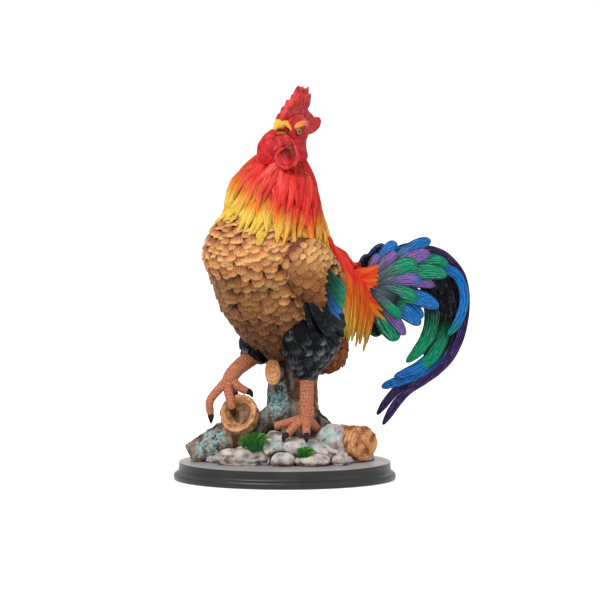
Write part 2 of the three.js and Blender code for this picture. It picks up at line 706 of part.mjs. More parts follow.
const SKULL_ROWS = [
  [-20, 0, 0, 5, 6],
  [-14, 0, 0, 11, 14],
  [-3, 0, 0, 13.5, 17],
  [8, 0, 1, 12.5, 15],
  [16, 0, 2, 9.5, 11],
  [20, 0, 2, 6, 7],
];
const THROAT_ROWS = [[-1, 0, -4, 13, 15], [1, -1, -16, 14.5, 15], [-2, -2, -30, 15.5, 15]];
const COMB_OUTLINE = [
  [24, 8], [24, 14], [18, 18], [15, 22.5], [9, 25], [4, 29.5], [-1, 30], [-6, 36], [-11, 39],
  [-15.5, 43.5], [-18, 39], [-22, 41.5], [-24, 37], [-23.5, 32], [-27.5, 31.5], [-25.5, 25], [-22, 19],
  [-31, 12.5], [-36, 8.5],
  [-43, 9.5], [-46.5, 5], [-44, -1], [-36, -5], [-26, -7], [-19, -4], [-14, 5], [0, 9], [14, 8],
];
const UPPER_BEAK = [[14, 0, 6, 8, 6], [21, 0, 6.5, 7, 5.5], [28, 0, 5, 4.4, 4.4], [34, 0, -1, 1.3, 1.6]];
const LOWER_BEAK = [[14, 0, -3, 7, 3.5], [22, 0, -3, 5, 2.6], [28, 0, -4.5, 1.8, 1.2]];
const WATTLE_LEFT = [[21, 9, -8, 4, 4], [25, 10, -15, 10, 5], [27, 11, -26, 13, 5.5], [25, 11, -37, 6, 3.5]];
const WATTLE_LEFT_HOLLOW = [
  [31, 9, -13, 1.5, 4],
  [33, 10, -19, 7, 6],
  [34, 11, -26, 8.5, 6],
  [33, 12, -33, 3, 3],
];
const WATTLE_RIGHT = [
  [17, -6, -1, 6, 4],
  [24, -11, -12, 11, 6],
  [26, -12, -25, 13, 6.5],
  [24, -11, -37, 8, 4],
];
const EYE = [7, 11, -1];

const skull = (grow = 0) => limb(head, SKULL_ROWS, grow, { sides: 12, steps: 6 }).add(
  limb(head, THROAT_ROWS, grow, { face: [1, 0, 0], sides: 12, steps: 3 }),
);
const comb = (grow = 0) => slab(head, COMB_OUTLINE, COMB_THICKNESS, grow);
const upperBeak = (grow = 0) => limb(head, UPPER_BEAK, grow, { sides: 10, steps: 5 });
const lowerBeak = (grow = 0) => limb(head, LOWER_BEAK, grow, { sides: 8, steps: 3 });
const wattleRight = (grow = 0) => limb(head, WATTLE_RIGHT, grow, { face: [1, 0.2, 0], sides: 14, steps: 7 });

function wattleLeft(grow = 0) {
  const lobe = limb(head, WATTLE_LEFT, grow, { face: [1, 0.2, 0], sides: 14, steps: 7 });
  const hollow = limb(head, WATTLE_LEFT_HOLLOW, 0, { face: [1, 0.2, 0], sides: 12, steps: 6 });
  return grow ? lobe : lobe.subtract(hollow);
}

function eye(side, grow = 0) {
  const ball = new THREE.SphereGeometry(EYE_RADIUS + grow, 14, 8).translate(EYE[0], side * EYE[1], EYE[2]);
  return solidIn(head, ball);
}

// Saddle hackles: from the back over both flanks, and on over the root of the tail

const SADDLE_CAP = [
  [-0.27, 0, 0.2, 0.16, 0.05],
  [-0.36, 0.02, 0.12, 0.24, 0.08],
  [-0.48, 0.07, 0.03, 0.24, 0.08],
  [-0.6, 0.12, 0.01, 0.22, 0.08],
];
const SADDLE_HACKLES = 7;
const SADDLE_DIP = 8;
// The line of the foremost hackle of a flank, and that of the hindmost, as shares of the torso: start,
// shoulder, flank and tip.
const FOREMOST_HACKLE = [
  [-0.25, 0.036, 0.258],
  [-0.306, 0.25, 0.194],
  [-0.292, 0.384, 0.022],
  [-0.264, 0.357, -0.263],
];
const HINDMOST_HACKLE = [
  [-0.597, 0.116, 0.07],
  [-0.639, 0.223, 0],
  [-0.639, 0.259, -0.108],
  [-0.583, 0.223, -0.344],
];
// Tips of the hackles that lie over the tail's root: [out, up].
const TAILWARD_TIPS = [[14, 20], [27, 9], [24, -4], [21, -16], [22, -36]];

function saddle(grow = 0) {
  const cap = limb(bird, torsoShares(SADDLE_CAP), grow, { sides: 12, steps: 4 });
  const sides = [-1, 1];
  const strands = sides.flatMap((side) => Array.from({ length: SADDLE_HACKLES }, (_, i) => {
    const line = FOREMOST_HACKLE.map((point, j) => {
      const back = i / (SADDLE_HACKLES - 1);
      const shares = point.map((v, k) => THREE.MathUtils.lerp(v, HINDMOST_HACKLE[j][k], back));
      const [x, y, z] = [shares[0] * TORSO_LENGTH, shares[1] * TORSO_BREADTH, shares[2] * TORSO_HEIGHT];
      const dip = j < 2 ? SADDLE_DIP * Math.sin(Math.PI * back) : 0;
      const ragged = j === 3 ? 4 * Math.sin(3 * i) : 0;
      return [x, side * y, z - dip + ragged, [6.5, 8, 7.5, 2][j], [3, 4, 3.6, 1.8][j]];
    });
    return limb(bird, line, grow, { face: [0, side, 0.3], sides: 4, steps: 4 });
  }));
  const tailward = sides.flatMap((side) => TAILWARD_TIPS.map(([out, up]) => limb(tail, [
    [-24, side * 13, 12, 5, 3],
    [-4, side * 18, 8 + 0.45 * (up - 8), 6.5, 3.5],
    [out, side * 15, up, 1.6, 1.6],
  ], grow, { face: [0, 1, 0], sides: 4, steps: 3 })));
  return joined([cap, ...strands, ...tailward]);
}

// Tail, in its own frame: forward is out along the tail, and left is the far side

const TAIL_CORE = [[-16, 0, -2, 15, 14], [0, 0, -1, 15, 16], [14, 0, -1, 12, 15], [24, 0, -1, 6, 9]];
// A fan feather's row is [degrees above level, length, half width, droop, layer].
const FAN = [
  [60, 40, 5.5, 3, 0], [49, 62, 7, 4, 0], [41, 52, 7, 3, 1], [30, 93, 7, 5, 0], [23, 84, 7.5, 5, 1],
  [13, 102, 8, 10, 0], [20, 64, 9, 5, 2], [6, 96, 8, 8, 1], [3, 64, 7, 4, 2], [-2, 82, 6.5, 5, 0],
  [-17, 60, 8.5, 3, 2], [-18, 88, 8, 4, 1], [-31, 48, 6, 2, 3], [-36, 76, 8, 3, 1], [-29, 76, 7.5, 4, 0],
  [-45, 50, 6, 2, 3], [-52, 70, 6, 2, 1], [-60, 70, 11, 2, 0],
];
const FAR_FAN_SHARE = 0.92;
const FAR_FAN_DROP = 5;

const tailCore = (grow = 0) => limb(tail, TAIL_CORE, grow, { sides: 14, steps: 6 });

function fan(side, grow = 0) {
  const feathers = FAN.filter((row) => side < 0 || row[4] < 2).map(([angle, length, wide, droop, layer]) => {
    const a = THREE.MathUtils.degToRad(side > 0 ? angle - FAR_FAN_DROP : angle);
    const reach = side > 0 ? length * FAR_FAN_SHARE : length;
    const y = side * (FAN_LAYER + layer * FAN_THICKNESS);
    const out = (share, drop, depth) => [
      share * reach * Math.cos(a),
      y + side * depth,
      share * reach * Math.sin(a) - drop,
    ];
    return limb(tail, [
      [...out(0.06, 0, -3), 0.5 * wide, FAN_THICKNESS / 2],
      [...out(0.45, -0.4 * droop, 1), wide, FAN_THICKNESS / 2],
      [...out(0.82, 0, 2), 0.95 * wide, FAN_THICKNESS / 2],
      [...out(1, droop, 1), 0.35 * wide, FAN_THICKNESS / 3],
    ], grow, { face: [0, 1, 0], sides: 4, steps: 3 });
  });
  const padEnds = [[2, side * (FAN_LAYER - 1), 0, 20, 3], [26, side * (FAN_LAYER + 1), 0, 16, 3]];
  const pad = limb(tail, padEnds, grow, {
    face: [0, 1, 0],
    steps: 3,
  });
  return joined([pad, ...feathers]);
}

// A sickle's rows are [out, up, half width] in the tail's frame. Its depth is counted from the near side.
const SICKLES = {
  sickle_green: [0, 'green', [
    [20, 6, 3], [45, 8, 5], [62, 4, 6], [72, -8, 7], [75, -25, 8], [75, -42, 8], [70, -57, 7.5], [60, -70, 6],
    [48, -80, 2.2],
  ]],
  sickle_blue_short: [0, 'blue', [
    [62, 19, 3], [76, 18, 4.5], [88, 14, 5], [100, 7, 5], [106.5, -4, 5], [109, -17, 5], [106, -32, 5],
    [101, -43, 5], [91, -55, 2.2],
  ]],
  sickle_blue_green: [1, 'blue', [
    [20, 8, 3], [60, 14, 5], [78, 6, 6], [88, -10, 7], [91, -32, 7], [88, -54, 7], [79, -73, 7], [66, -84, 6],
    [50, -91, 5], [36, -94, 2],
  ]],
  sickle_blue_long: [2, 'blue', [
    [20, 10, 3], [62, 18, 5], [84, 10, 6], [93, -8, 6.5], [97, -30, 6.5], [95, -52, 6.5], [86, -75, 6.5],
    [70, -89, 6], [52, -97, 5.5], [37, -101, 4.5], [24, -105, 2],
  ]],
  sickle_purple_outer: [3, 'purple', [
    [14, 11, 4], [48, 28, 4], [72, 32, 4.5], [88, 27, 5], [99, 18, 5], [109, 4, 5.5], [113.5, -14, 5.5],
    [113, -36, 5.5], [108, -58, 5.5], [98, -77, 5.5], [86, -90, 5], [70, -101, 5], [55, -110, 4.5],
    [41, -124, 4], [27, -144, 2],
  ]],
  sickle_purple_inner: [4, 'purple', [
    [14, 8, 4], [48, 24, 4], [72, 27, 4.5], [87, 21, 5], [97, 12, 5], [105, 0, 5], [109, -18, 5.5],
    [107, -42, 5.5], [101, -61, 5.5], [91, -78, 5], [80, -88, 5], [66, -96, 4.5], [50, -104, 4.5],
    [36, -117, 4], [22, -134, 2],
  ]],
  sickle_black: [5, 'dark', [
    [20, 6, 4], [56, 10, 8], [76, 4, 10], [86, -14, 11], [90, -38, 11], [85, -60, 9], [74, -76, 4],
  ]],
};
const SICKLE_SPACING = SICKLE_THICKNESS + GLUE_GAP + 0.1;
const NEAREST_SICKLE = -2.5 * SICKLE_SPACING;

const sickle = ([layer, , rows], grow = 0) => limb(
  tail,
  rows.map(([x, z, wide]) => [x, NEAREST_SICKLE + layer * SICKLE_SPACING, z, wide, SICKLE_THICKNESS / 2]),
  grow,
  { face: [0, 1, 0], sides: 6, steps: 2 * rows.length },
);

// Steel pins that carry the castings

const PINS = {
  pin_standing_leg: [legs, [0, LEFT_HIP, toGround - 14], [0, LEFT_HIP, 12]],
  pin_raised_leg: [legs, [40, RIGHT_HIP, -19], [4, RIGHT_HIP + 1, 2]],
  pin_neck: [bird, [8, 2, 0.36 * TORSO_HEIGHT], [0, 9, 0.86 * TORSO_HEIGHT]],
  pin_tail_upper: [bird, [-0.36 * TORSO_LENGTH, 6, 8], [-0.62 * TORSO_LENGTH, 15, 6]],
  pin_tail_lower: [bird, [-0.36 * TORSO_LENGTH, 6, -4], [-0.62 * TORSO_LENGTH, 15, -4]],
  pin_wing_left: [bird, [10, 32, 20], [10, 62, 20]],
  pin_wing_right: [bird, [10, -32, 20], [10, -62, 20]],
};

const pin = (name, grow = 0) => bar(PINS[name][0], PINS[name][1], PINS[name][2], PIN_RADIUS + grow, 8);

// The assembly. A piece is [frame, material, form, neighbours that it is cut to clear].

const pieces = {
  felt_pad: [plinthGroup, 'felt', felt],
  plinth: [plinthGroup, 'black_gloss', plinth],
  centre_rod: [plinthGroup, 'steel', centreRod],
  rod_washer: [plinthGroup, 'steel', washer],
  rod_nut: [plinthGroup, 'steel', nut],
};
screwPlaces.forEach((place, i) => {
  pieces[`plinth_screw_${i + 1}`] = [plinthGroup, 'steel', (grow) => screw(place, grow)];
});
Object.keys(PINS).forEach((name) => {
  pieces[name] = [PINS[name][0], 'steel', (grow) => pin(name, grow)];
});
const screws = screwPlaces.map((_, i) => `plinth_screw_${i + 1}`);
Object.assign(pieces, {
  torso: [bird, 'brown_feather', torso, ['centre_rod', ...Object.keys(PINS)]],
  wing_left: [bird, 'brown_feather', (grow) => wing(1, grow), ['torso', 'pin_wing_left']],
  wing_right: [bird, 'brown_feather', (grow) => wing(-1, grow), ['torso', 'pin_wing_right']],
  thigh_left: [legs, 'black_feather', thighLeft, ['torso', 'wing_left', 'pin_standing_leg']],
  thigh_right: [legs, 'black_feather', thighRight, ['torso', 'wing_right', 'pin_raised_leg']],
  leg_left: [legs, 'scaly_leg', legLeft, ['thigh_left', 'torso', 'pin_standing_leg']],
  leg_right: [legs, 'scaly_leg', legRight, ['thigh_right', 'torso', 'pin_raised_leg']],
  neck_hackle: [bird, 'red_hackle', neck, ['torso', 'wing_left', 'wing_right', 'pin_neck']],
  head: [head, 'red_skin', skull, ['neck_hackle', 'pin_neck', 'comb', 'eye_left', 'eye_right']],
  comb: [head, 'red_skin', comb],
  eye_left: [head, 'eye_glass', (grow) => eye(1, grow)],
  eye_right: [head, 'eye_glass', (grow) => eye(-1, grow)],
  beak_upper: [head, 'yellow_beak', upperBeak, ['head', 'comb']],
  beak_lower: [head, 'yellow_beak', lowerBeak, ['head', 'neck_hackle', 'beak_upper']],
  wattle_left: [head, 'red_skin', wattleLeft, ['head', 'neck_hackle', 'beak_lower', 'beak_upper']],
  wattle_right: [head, 'red_skin', wattleRight, ['head', 'neck_hackle', 'beak_lower', 'beak_upper',
    'wattle_left']],
  tail_core: [tail, 'dark_feather', tailCore, ['torso', 'pin_tail_upper', 'pin_tail_lower']],
  saddle_hackle: [bird, 'orange_saddle', saddle, ['torso', 'tail_core', 'wing_left', 'wing_right',
    'thigh_left', 'thigh_right', 'neck_hackle', 'pin_tail_upper', 'pin_tail_lower']],
});
const sickleNames = Object.keys(SICKLES);
sickleNames.forEach((name, i) => {
  pieces[name] = [tail, `${SICKLES[name][1]}_feather`, (grow) => sickle(SICKLES[name], grow),
    ['tail_core', 'saddle_hackle', ...sickleNames.slice(0, i)]];
});
Object.assign(pieces, {
  tail_fan_left: [tail, 'blue_feather', (grow) => fan(-1, grow), ['tail_core', 'saddle_hackle', 'torso',
    ...sickleNames]],
  tail_fan_right: [tail, 'green_feather', (grow) => fan(1, grow), ['tail_core', 'saddle_hackle', 'torso',
    'tail_fan_left', ...sickleNames]],
  tree_stump: [scenery, 'bark', stump, ['torso', 'thigh_left', 'thigh_right', 'leg_left', 'leg_right',
    'centre_rod', 'saddle_hackle']],
  hollow_log: [scenery, 'bark', hollowLog, ['leg_right', 'tree_stump', ...screws]],
  cut_log: [scenery, 'cut_wood', cutLog, ['tree_stump', ...screws]],
});
const stoneNames = Object.keys(STONES);
stoneNames.forEach((name, i) => {
  pieces[name] = [scenery, 'stone', (grow) => boulder(STONES[name], grow),
    ['cut_log', 'hollow_log', 'tree_stump', 'leg_left', ...screws, ...stoneNames.slice(0, i)]];
});
pieces.rockwork = [scenery, 'rock', rockwork, ['tree_stump', 'hollow_log', 'cut_log', 'leg_left',
  'centre_rod', 'pin_standing_leg', ...screws, ...stoneNames]];
Object.keys(TUFTS).forEach((name) => {
  pieces[name] = [scenery, 'grass', (grow) => tuft(TUFTS[name], grow),
    ['rockwork', 'hollow_log', 'tree_stump', 'leg_left', 'leg_right', ...stoneNames]];
});

Object.entries(pieces).forEach(([name, [group, material, form, neighbours = []]]) => {
  const cutters = neighbours.map((other) => pieces[other][2](GLUE_GAP));
  const solid = mainBody(cutters.length ? form(0).subtract(joined(cutters)) : form(0));
  const geometry = geometryFrom(solid).applyMatrix4(group.matrixWorld.clone().invert());
  const mesh = new THREE.Mesh(geometry, PAINT[material]);
  mesh.name = name;
  group.add(mesh);
});

export default figure;
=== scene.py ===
"""Dresses a resin rooster figurine: painted feathers, comb and wattles, scaly legs, logs, rocks and plinth.

A piece is shaped in millimetres and made metres when it is finished. Forward, left and up are the bird's own
axes, and a line is a list of (point, outward direction) pairs.
"""

import math
import random

import bmesh
import bpy
from mathutils import Matrix, Vector, noise
from mathutils.bvhtree import BVHTree


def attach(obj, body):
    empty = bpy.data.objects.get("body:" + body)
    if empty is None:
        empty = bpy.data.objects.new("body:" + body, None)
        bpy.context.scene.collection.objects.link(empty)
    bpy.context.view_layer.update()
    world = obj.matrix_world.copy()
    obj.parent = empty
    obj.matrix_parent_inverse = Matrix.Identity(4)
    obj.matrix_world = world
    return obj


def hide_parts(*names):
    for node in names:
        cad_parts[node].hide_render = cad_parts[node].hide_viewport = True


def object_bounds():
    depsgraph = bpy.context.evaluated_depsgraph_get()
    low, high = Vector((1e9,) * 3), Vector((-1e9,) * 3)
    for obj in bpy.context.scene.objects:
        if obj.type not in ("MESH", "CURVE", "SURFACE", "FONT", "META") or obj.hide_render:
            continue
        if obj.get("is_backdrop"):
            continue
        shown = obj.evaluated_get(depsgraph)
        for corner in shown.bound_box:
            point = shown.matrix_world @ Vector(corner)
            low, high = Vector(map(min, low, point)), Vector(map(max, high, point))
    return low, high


bl_info = {
    "name": "Painted Rooster Figurine",
    "version": (1, 0, 0),
    "blender": (4, 5, 0),
    "location": "3D View > Sidebar > Rooster",
    "description": "Models and paints the surfaces of a resin rooster figurine over its solids",
    "category": "Add Mesh",
}

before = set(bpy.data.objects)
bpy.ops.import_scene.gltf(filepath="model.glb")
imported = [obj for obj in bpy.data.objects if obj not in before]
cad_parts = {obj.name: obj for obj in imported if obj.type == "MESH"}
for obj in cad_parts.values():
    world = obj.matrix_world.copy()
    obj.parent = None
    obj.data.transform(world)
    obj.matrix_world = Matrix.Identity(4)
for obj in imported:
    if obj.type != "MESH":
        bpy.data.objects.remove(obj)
CAD_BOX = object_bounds()

MM = 0.001
TAU = 2 * math.pi
BODY = "root"


# Frames: the bird, its head and its tail are turned about the upright axis, one inside the other

def placed(parent, x, y, z, turn):
    """A frame moved and turned within another."""
    return parent @ Matrix.Translation((x, y, z)) @ Matrix.Rotation(math.radians(turn), 4, "Z")


TORSO_HEIGHT = 186
TORSO_LENGTH = 144
PLINTH_TOP = 18.5
FIGURE = Matrix.Identity(4)
GROUND = placed(FIGURE, 0, 0, PLINTH_TOP, 0)
BIRD = placed(FIGURE, 0, 10, 190, 222)
HEAD = placed(BIRD, -0.6, 11.3, 0.87 * TORSO_HEIGHT, 15)
TAIL = placed(BIRD, -0.6 * TORSO_LENGTH, 15, 0, 160)


def turned(basis, vector):
    """A direction in a frame's axes, as one in the figure's."""
    return (basis.to_3x3() @ Vector(vector)).normalized()


# Properties: the paint colours and the sizes that a user would change

def colour(label, description, code):
    """A colour property from six hex digits."""
    channels = tuple(int(code[i:i + 2], 16) / 255 for i in (0, 2, 4))
    return bpy.props.FloatVectorProperty(
        name=label, description=description, default=channels, min=0, max=1, size=3, subtype="COLOR_GAMMA"
    )


def distance(label, description, millimetres):
    """A length property."""
    default = millimetres * MM
    return bpy.props.FloatProperty(
        name=label, description=description, default=default, min=0, subtype="DISTANCE", unit="LENGTH"
    )


class RoosterPaint(bpy.types.PropertyGroup):
    """The colours of the paint."""

    # Partly wash and partly painted shade: this deep tone darkens the roots of the scales and coverts and the
    # skin between them.
    breast_deep: colour("Breast, deep", "Wash between the breast scales", "43200f")
    breast_middle: colour("Breast, middle", "Body of a breast scale", "cc8850")
    breast_warm: colour("Breast, warm", "Scales low on the breast and on the wing", "c4702c")
    breast_tip: colour("Breast, tip", "Dry-brushed edge of a breast scale", "ffd488")
    breast_pale: colour("Breast, pale", "Brightest dry brushing", "ffe6ac")
    breast_rose: colour("Breast, rose", "Root of a breast scale", "b9745a")
    vent_brown: colour("Vent", "Fluff under the tail", "7c4230")
    thigh_black: colour("Thigh, black", "Black feathers of the thighs", "0a0b0d")
    # Painted highlight: this grey on the black thigh feathers stands in for their glossy highlights.
    thigh_painted_highlight: colour("Thigh, grey", "Dry-brushed grey on the black feathers", "989ca3")
    # Also painted shade: the skin under the neck hackles is darkened towards this.
    hackle_deep: colour("Hackle, deep", "Grooves of the neck", "8a0a10")
    hackle_red: colour("Hackle, red", "Upper neck", "fb2a1e")
    hackle_pink: colour("Hackle, pink", "Dry brushing on the neck", "ffb0a2")
    hackle_orange: colour("Hackle, orange", "Band above the tips", "ff8a20")
    hackle_tip: colour("Hackle, tip", "Tips of the hackles", "ffd857")
    skin_red: colour("Skin, red", "Comb, face and wattles", "d01218")
    skin_deep: colour("Skin, deep", "Creases of the red skin", "7c0a12")
    skin_pink: colour("Skin, pink", "Dry brushing on the warts", "ff8480")
    beak_yellow: colour("Beak, yellow", "Beak", "ffba2e")
    beak_dark: colour("Beak, dark", "Nostrils and the line of the mouth", "5e2c12")
    brow_orange: colour("Brow", "Ridge over the eye", "ff8e38")
    iris: colour("Iris", "Ring round the pupil", "666a30")
    pupil: colour("Pupil", "Pupil", "0a0a08")
    leg_flesh: colour("Leg", "Raised scales of the legs", "dc946c")
    leg_deep: colour("Leg, deep", "Wash between the leg scales", "78402c")
    claw: colour("Claw", "Claws", "16161a")
    feather_blue: colour("Feather blue", "Blue tail feathers", "1f80d6")
    feather_green: colour("Feather green", "Green tail feathers", "0f9a6e")
    sickle_purple: colour("Sickle purple", "Dark purple of the outer sickles", "4c3470")
    feather_purple: colour("Feather purple", "Purple tail feathers", "8a66b4")
    feather_black: colour("Feather black", "Roots and black feathers", "08090e")
    feather_pale: colour("Feather, pale", "Dry brushing on the tail", "b9d0e6")
    wood_tan: colour("Wood, tan", "Sawn and broken wood", "eeb07a")
    wood_deep: colour("Wood, deep", "Hollows in the wood", "a06238")
    bark_grey: colour("Bark, grey", "Bark", "8d8780")
    bark_brown: colour("Bark, brown", "Furrows of the bark", "4a352a")
    lichen: colour("Lichen", "Turquoise lichen", "6fc0c8")
    stone_grey: colour("Stone, grey", "Faces of the stones", "dcd3cc")
    # Painted shade: the stones take this tone where they face down.
    stone_underside_shade: colour("Stone, deep", "Joints and undersides", "6a5f58")
    grass_green: colour("Grass, green", "Blades of grass", "6cc64c")
    grass_deep: colour("Grass, deep", "Roots of the grass", "0b4f16")
    plinth_black: colour("Plinth", "Black satin paint", "0b0b0d")
    felt_green: colour("Felt", "Felt under the plinth", "1c2a20")
    steel: colour("Steel", "Rod, nut, washer, screws and pins", "9a9ca0")


class RoosterSizes(bpy.types.PropertyGroup):
    """The sizes of the modelled surface."""

    scale_width: distance("Breast scale", "Width of a breast scale", 12.5)
    scale_rows: distance("Breast rows", "From one row of breast scales to the next", 6.6)
    covert_width: distance("Covert", "Width of a wing covert", 9)
    thigh_width: distance("Thigh feather", "Width of a thigh feather", 12)
    hackle_width: distance("Hackle", "Width of a neck hackle", 11)
    scute_pitch: distance("Leg scale", "From one leg scale to the next", 2.7)
    wart_size: distance("Wart", "Spacing of the warts on the comb", 3.4)
    camera_distance: distance("Camera distance", "From the camera to the figure", 9000)


def tone(name):
    """A paint colour, as the linear values that a renderer works in."""
    channels = getattr(bpy.context.scene.rooster_paint, name)
    return (*(c / 12.92 if c <= 0.04045 else ((c + 0.055) / 1.055) ** 2.4 for c in channels), 1.0)


def size(name):
    """A size in millimetres."""
    return getattr(bpy.context.scene.rooster_sizes, name) / MM


def blended(first, second, share):
    """A colour part of the way from one to another."""
    return tuple(a + (b - a) * share for a, b in zip(first, second))


def gradient(stops, share):
    """The colour at a share of a list of (share, colour) stops."""
    for (low, first), (high, second) in zip(stops, stops[1:]):
        if share <= high:
            return blended(first, second, max(0, (share - low) / (high - low)))
    return stops[-1][1]


def step(low, high, value):
    """0 below low, 1 above high, and a smooth rise between them."""
    share = min(max((value - low) / (high - low), 0), 1)
    return share * share * (3 - 2 * share)


def painted_shade_factor(normal):
    """Painted shade: full brightness on what faces up, and half on what faces down."""
    return 0.5 + 0.5 * step(-0.5, 0.15, normal.z)


def lit(shade, factor):
    """A colour made lighter or darker."""
    return (*(channel * factor for channel in shade[:3]), 1)


def jittered(rng, shade, spread):
    """A colour a little lighter or darker."""
    return lit(shade, 1 + rng.uniform(-spread, spread))


def plain(shade):
    """A dye that is the same all over a feather or a skin."""
    return lambda *place: shade


def graded(stops):
    """A dye that follows (share, colour) stops from root to tip."""
    return lambda share, point: gradient(stops, share)


# Materials

class Wire:
    """A value in a material. An operator on it adds the Math node that works it out."""

    def __init__(self, finish, socket):
        self.finish = finish
        self.socket = socket

    def math(self, operation, *values):
        return self.finish.node("Math", {"operation": operation}, dict(enumerate(values)))

    def __add__(self, other):
        return self.math("ADD", self, other)

    def __sub__(self, other):
        return self.math("SUBTRACT", self, other)

    def __rsub__(self, other):
        return self.math("SUBTRACT", other, self)

    def __mul__(self, other):
        return self.math("MULTIPLY", self, other)

    __radd__ = __add__
    __rmul__ = __mul__

    def wave(self):
        """A ripple from 0 to 1, once for each unit."""
        return self.math("SINE", self * TAU) * 0.5 + 0.5

    def magnitude(self):
        return self.math("ABSOLUTE", self)

    def between(self, low, high):
        """0 at low and 1 at high, rising smoothly."""
        limits = {"Value": self, "From Min": low, "From Max": high}
        return self.finish.node("MapRange", {"interpolation_type": "SMOOTHSTEP"}, limits)


class Finish:
    """A material, with the one method that adds its nodes."""

    def __init__(self, name, constants=None):
        self.material = bpy.data.materials.new(name)
        self.material.use_nodes = True
        self.tree = self.material.node_tree
        self.surface = self.tree.nodes["Principled BSDF"]
        for socket, value in (constants or {}).items():
            self.surface.inputs[socket].default_value = value

    def feed(self, socket, value):
        if isinstance(value, Wire):
            self.tree.links.new(value.socket, socket)
        else:
            socket.default_value = value

    def node(self, kind, settings=None, values=None, output=0):
        made = self.tree.nodes.new("ShaderNode" + kind)
        for name, value in (settings or {}).items():
            setattr(made, name, value)
        for name, value in (values or {}).items():
            self.feed(made.inputs[name], value)
        return Wire(self, made.outputs[output])

    def place(self):
        return self.node("TexCoord", output=3)

    def attribute(self, name, output):
        return self.node("Attribute", {"attribute_name": name}, output=output)

    def joined(self, x, y):
        return self.node("CombineXYZ", {}, {0: x, 1: y})

    def parts(self, vector):
        return [self.node("SeparateXYZ", {}, {"Vector": vector}, i) for i in range(3)]

    def stretched(self, x, y, z):
        """Object coordinates, stretched."""
        return self.node("Mapping", {}, {"Vector": self.place(), "Scale": (x, y, z)})

    def grain(self, pitch, detail=3, at=None):
        """Noise with features about `pitch` millimetres across."""
        values = {"Vector": at or self.place(), "Scale": 1 / (pitch * MM), "Detail": detail, "Roughness": 0.6}
        return self.node("TexNoise", {}, values)

    def cells(self, pitch, feature="F1"):
        """Distance within cells about `pitch` millimetres across."""
        values = {"Vector": self.place(), "Scale": 1 / (pitch * MM)}
        return self.node("TexVoronoi", {"feature": feature}, values)

    def mix(self, share, first, second):
        return self.node("Mix", {"data_type": "RGBA"}, {0: share, 6: first, 7: second}, 2)

    def times(self, first, second):
        settings = {"data_type": "RGBA", "blend_type": "MULTIPLY"}
        return self.node("Mix", settings, {0: 1.0, 6: first, 7: second}, 2)

    def paint(self, base, roughness, height=None, depth=0.3, metallic=None):
        """The surface's colour, roughness and relief, the relief `depth` millimetres deep."""
        self.feed(self.surface.inputs["Base Color"], base)
        self.feed(self.surface.inputs["Roughness"], roughness)
        if metallic is not None:
            self.feed(self.surface.inputs["Metallic"], metallic)
        if height is not None:
            relief = self.node("Bump", {}, {"Strength": 0.9, "Distance": depth * MM, "Height": height})
            self.feed(self.surface.inputs["Normal"], relief)
        return self.material


# Fixed tones, as linear values. A wash darkens the paint under it, and a pale tone is brushed over it.
FEATHER_WASH = (0.004, 0.003, 0.003, 1)
FLESH_WASH = (0.62, 0.4, 0.42, 1)
HORN_WASH = (0.55, 0.32, 0.2, 1)
LEG_WASH = (0.42, 0.3, 0.26, 1)
PLINTH_DUST = (0.03, 0.03, 0.033, 1)
# A painted reflection: the pale grey of the plinth's top face.
PLINTH_PAINTED_REFLECTION = (0.46, 0.45, 0.45, 1)
FELT_NAP = (0.05, 0.09, 0.055, 1)
STEEL_WORN = (0.2, 0.2, 0.21, 1)
STONE_WASH = (0.34, 0.3, 0.28, 1)
STONE_PALE = (0.75, 0.7, 0.66, 1)
LICHEN_DEEP = (0.3, 0.5, 0.5, 1)
LICHEN_PALE = (0.62, 0.86, 0.84, 1)
WOOD_WASH = (0.6, 0.46, 0.38, 1)
WOOD_PALE = (0.95, 0.75, 0.5, 1)
GRASS_WASH = (0.4, 0.45, 0.3, 1)


def feather_finish(name, gloss, ribs, wash, dry, dry_tone="feather_pale", depth=0.35, edge=0.5, mirror=0.2):
    """Painted feathers: the dye under `ribs` long grooves, with a dark wash in them.

    `dry` is how much dry brushing the ridges get, `depth` how deep the grooves are in millimetres, `edge` how
    much painted shade darkens the edges where feathers overlap, and `mirror` how much the surface mirrors.
    """
    finish = Finish(name, {"Specular IOR Level": mirror})
    dye = finish.attribute("dye", 0)
    across, along, share = finish.parts(finish.attribute("barb", 1))
    lines = finish.joined(across * ribs, along * 0.06)
    phase = across * ribs + finish.grain(7, 2) * 1.6
    strokes = finish.node("TexNoise", {}, {"Vector": lines, "Scale": 1.4, "Detail": 4, "Roughness": 0.6})
    ridge = phase.wave() * 0.45 + strokes.between(0.3, 0.7) * 0.55
    patches = finish.grain(9, 4).between(0.36, 0.62)
    fine = finish.grain(0.9, 2)
    washed = finish.mix(wash, dye, FEATHER_WASH)
    base = finish.mix(ridge.between(0.1, 0.6) * 0.8 + fine * 0.3, washed, dye)
    # Painted shade: the edges of each feather darken towards the wash colour, where the next feather
    # overlaps; in the grooves the same colour is the dark wash.
    base = finish.mix(across.magnitude().between(0.7, 1.0) * edge, base, washed)
    brushed = ridge.between(0.55, 0.9) * patches * fine.between(0.35, 0.6) * dry
    base = finish.mix(brushed, base, finish.mix(0.55, dye, tone(dry_tone)))
    height = ridge * 0.7 + fine * 0.3 + share * 0.1
    return finish.paint(base, fine * 0.25 + (1 - gloss), height, depth)


def scale_finish(name, wash, dry):
    """The paint of the breast's scales and the coverts, with shallow ribs."""
    return feather_finish(
        name, 0.5, ribs=2.2, wash=wash, dry=dry, dry_tone="breast_pale", depth=0.22, edge=0.25, mirror=0.1
    )


def hackle_finish(name, ribs, dry, dry_tone):
    """The paint of the hackles, with deep grooves."""
    return feather_finish(name, 0.55, ribs=ribs, wash=0.5, dry=dry, dry_tone=dry_tone, depth=0.5, edge=0.7)


# Shaping

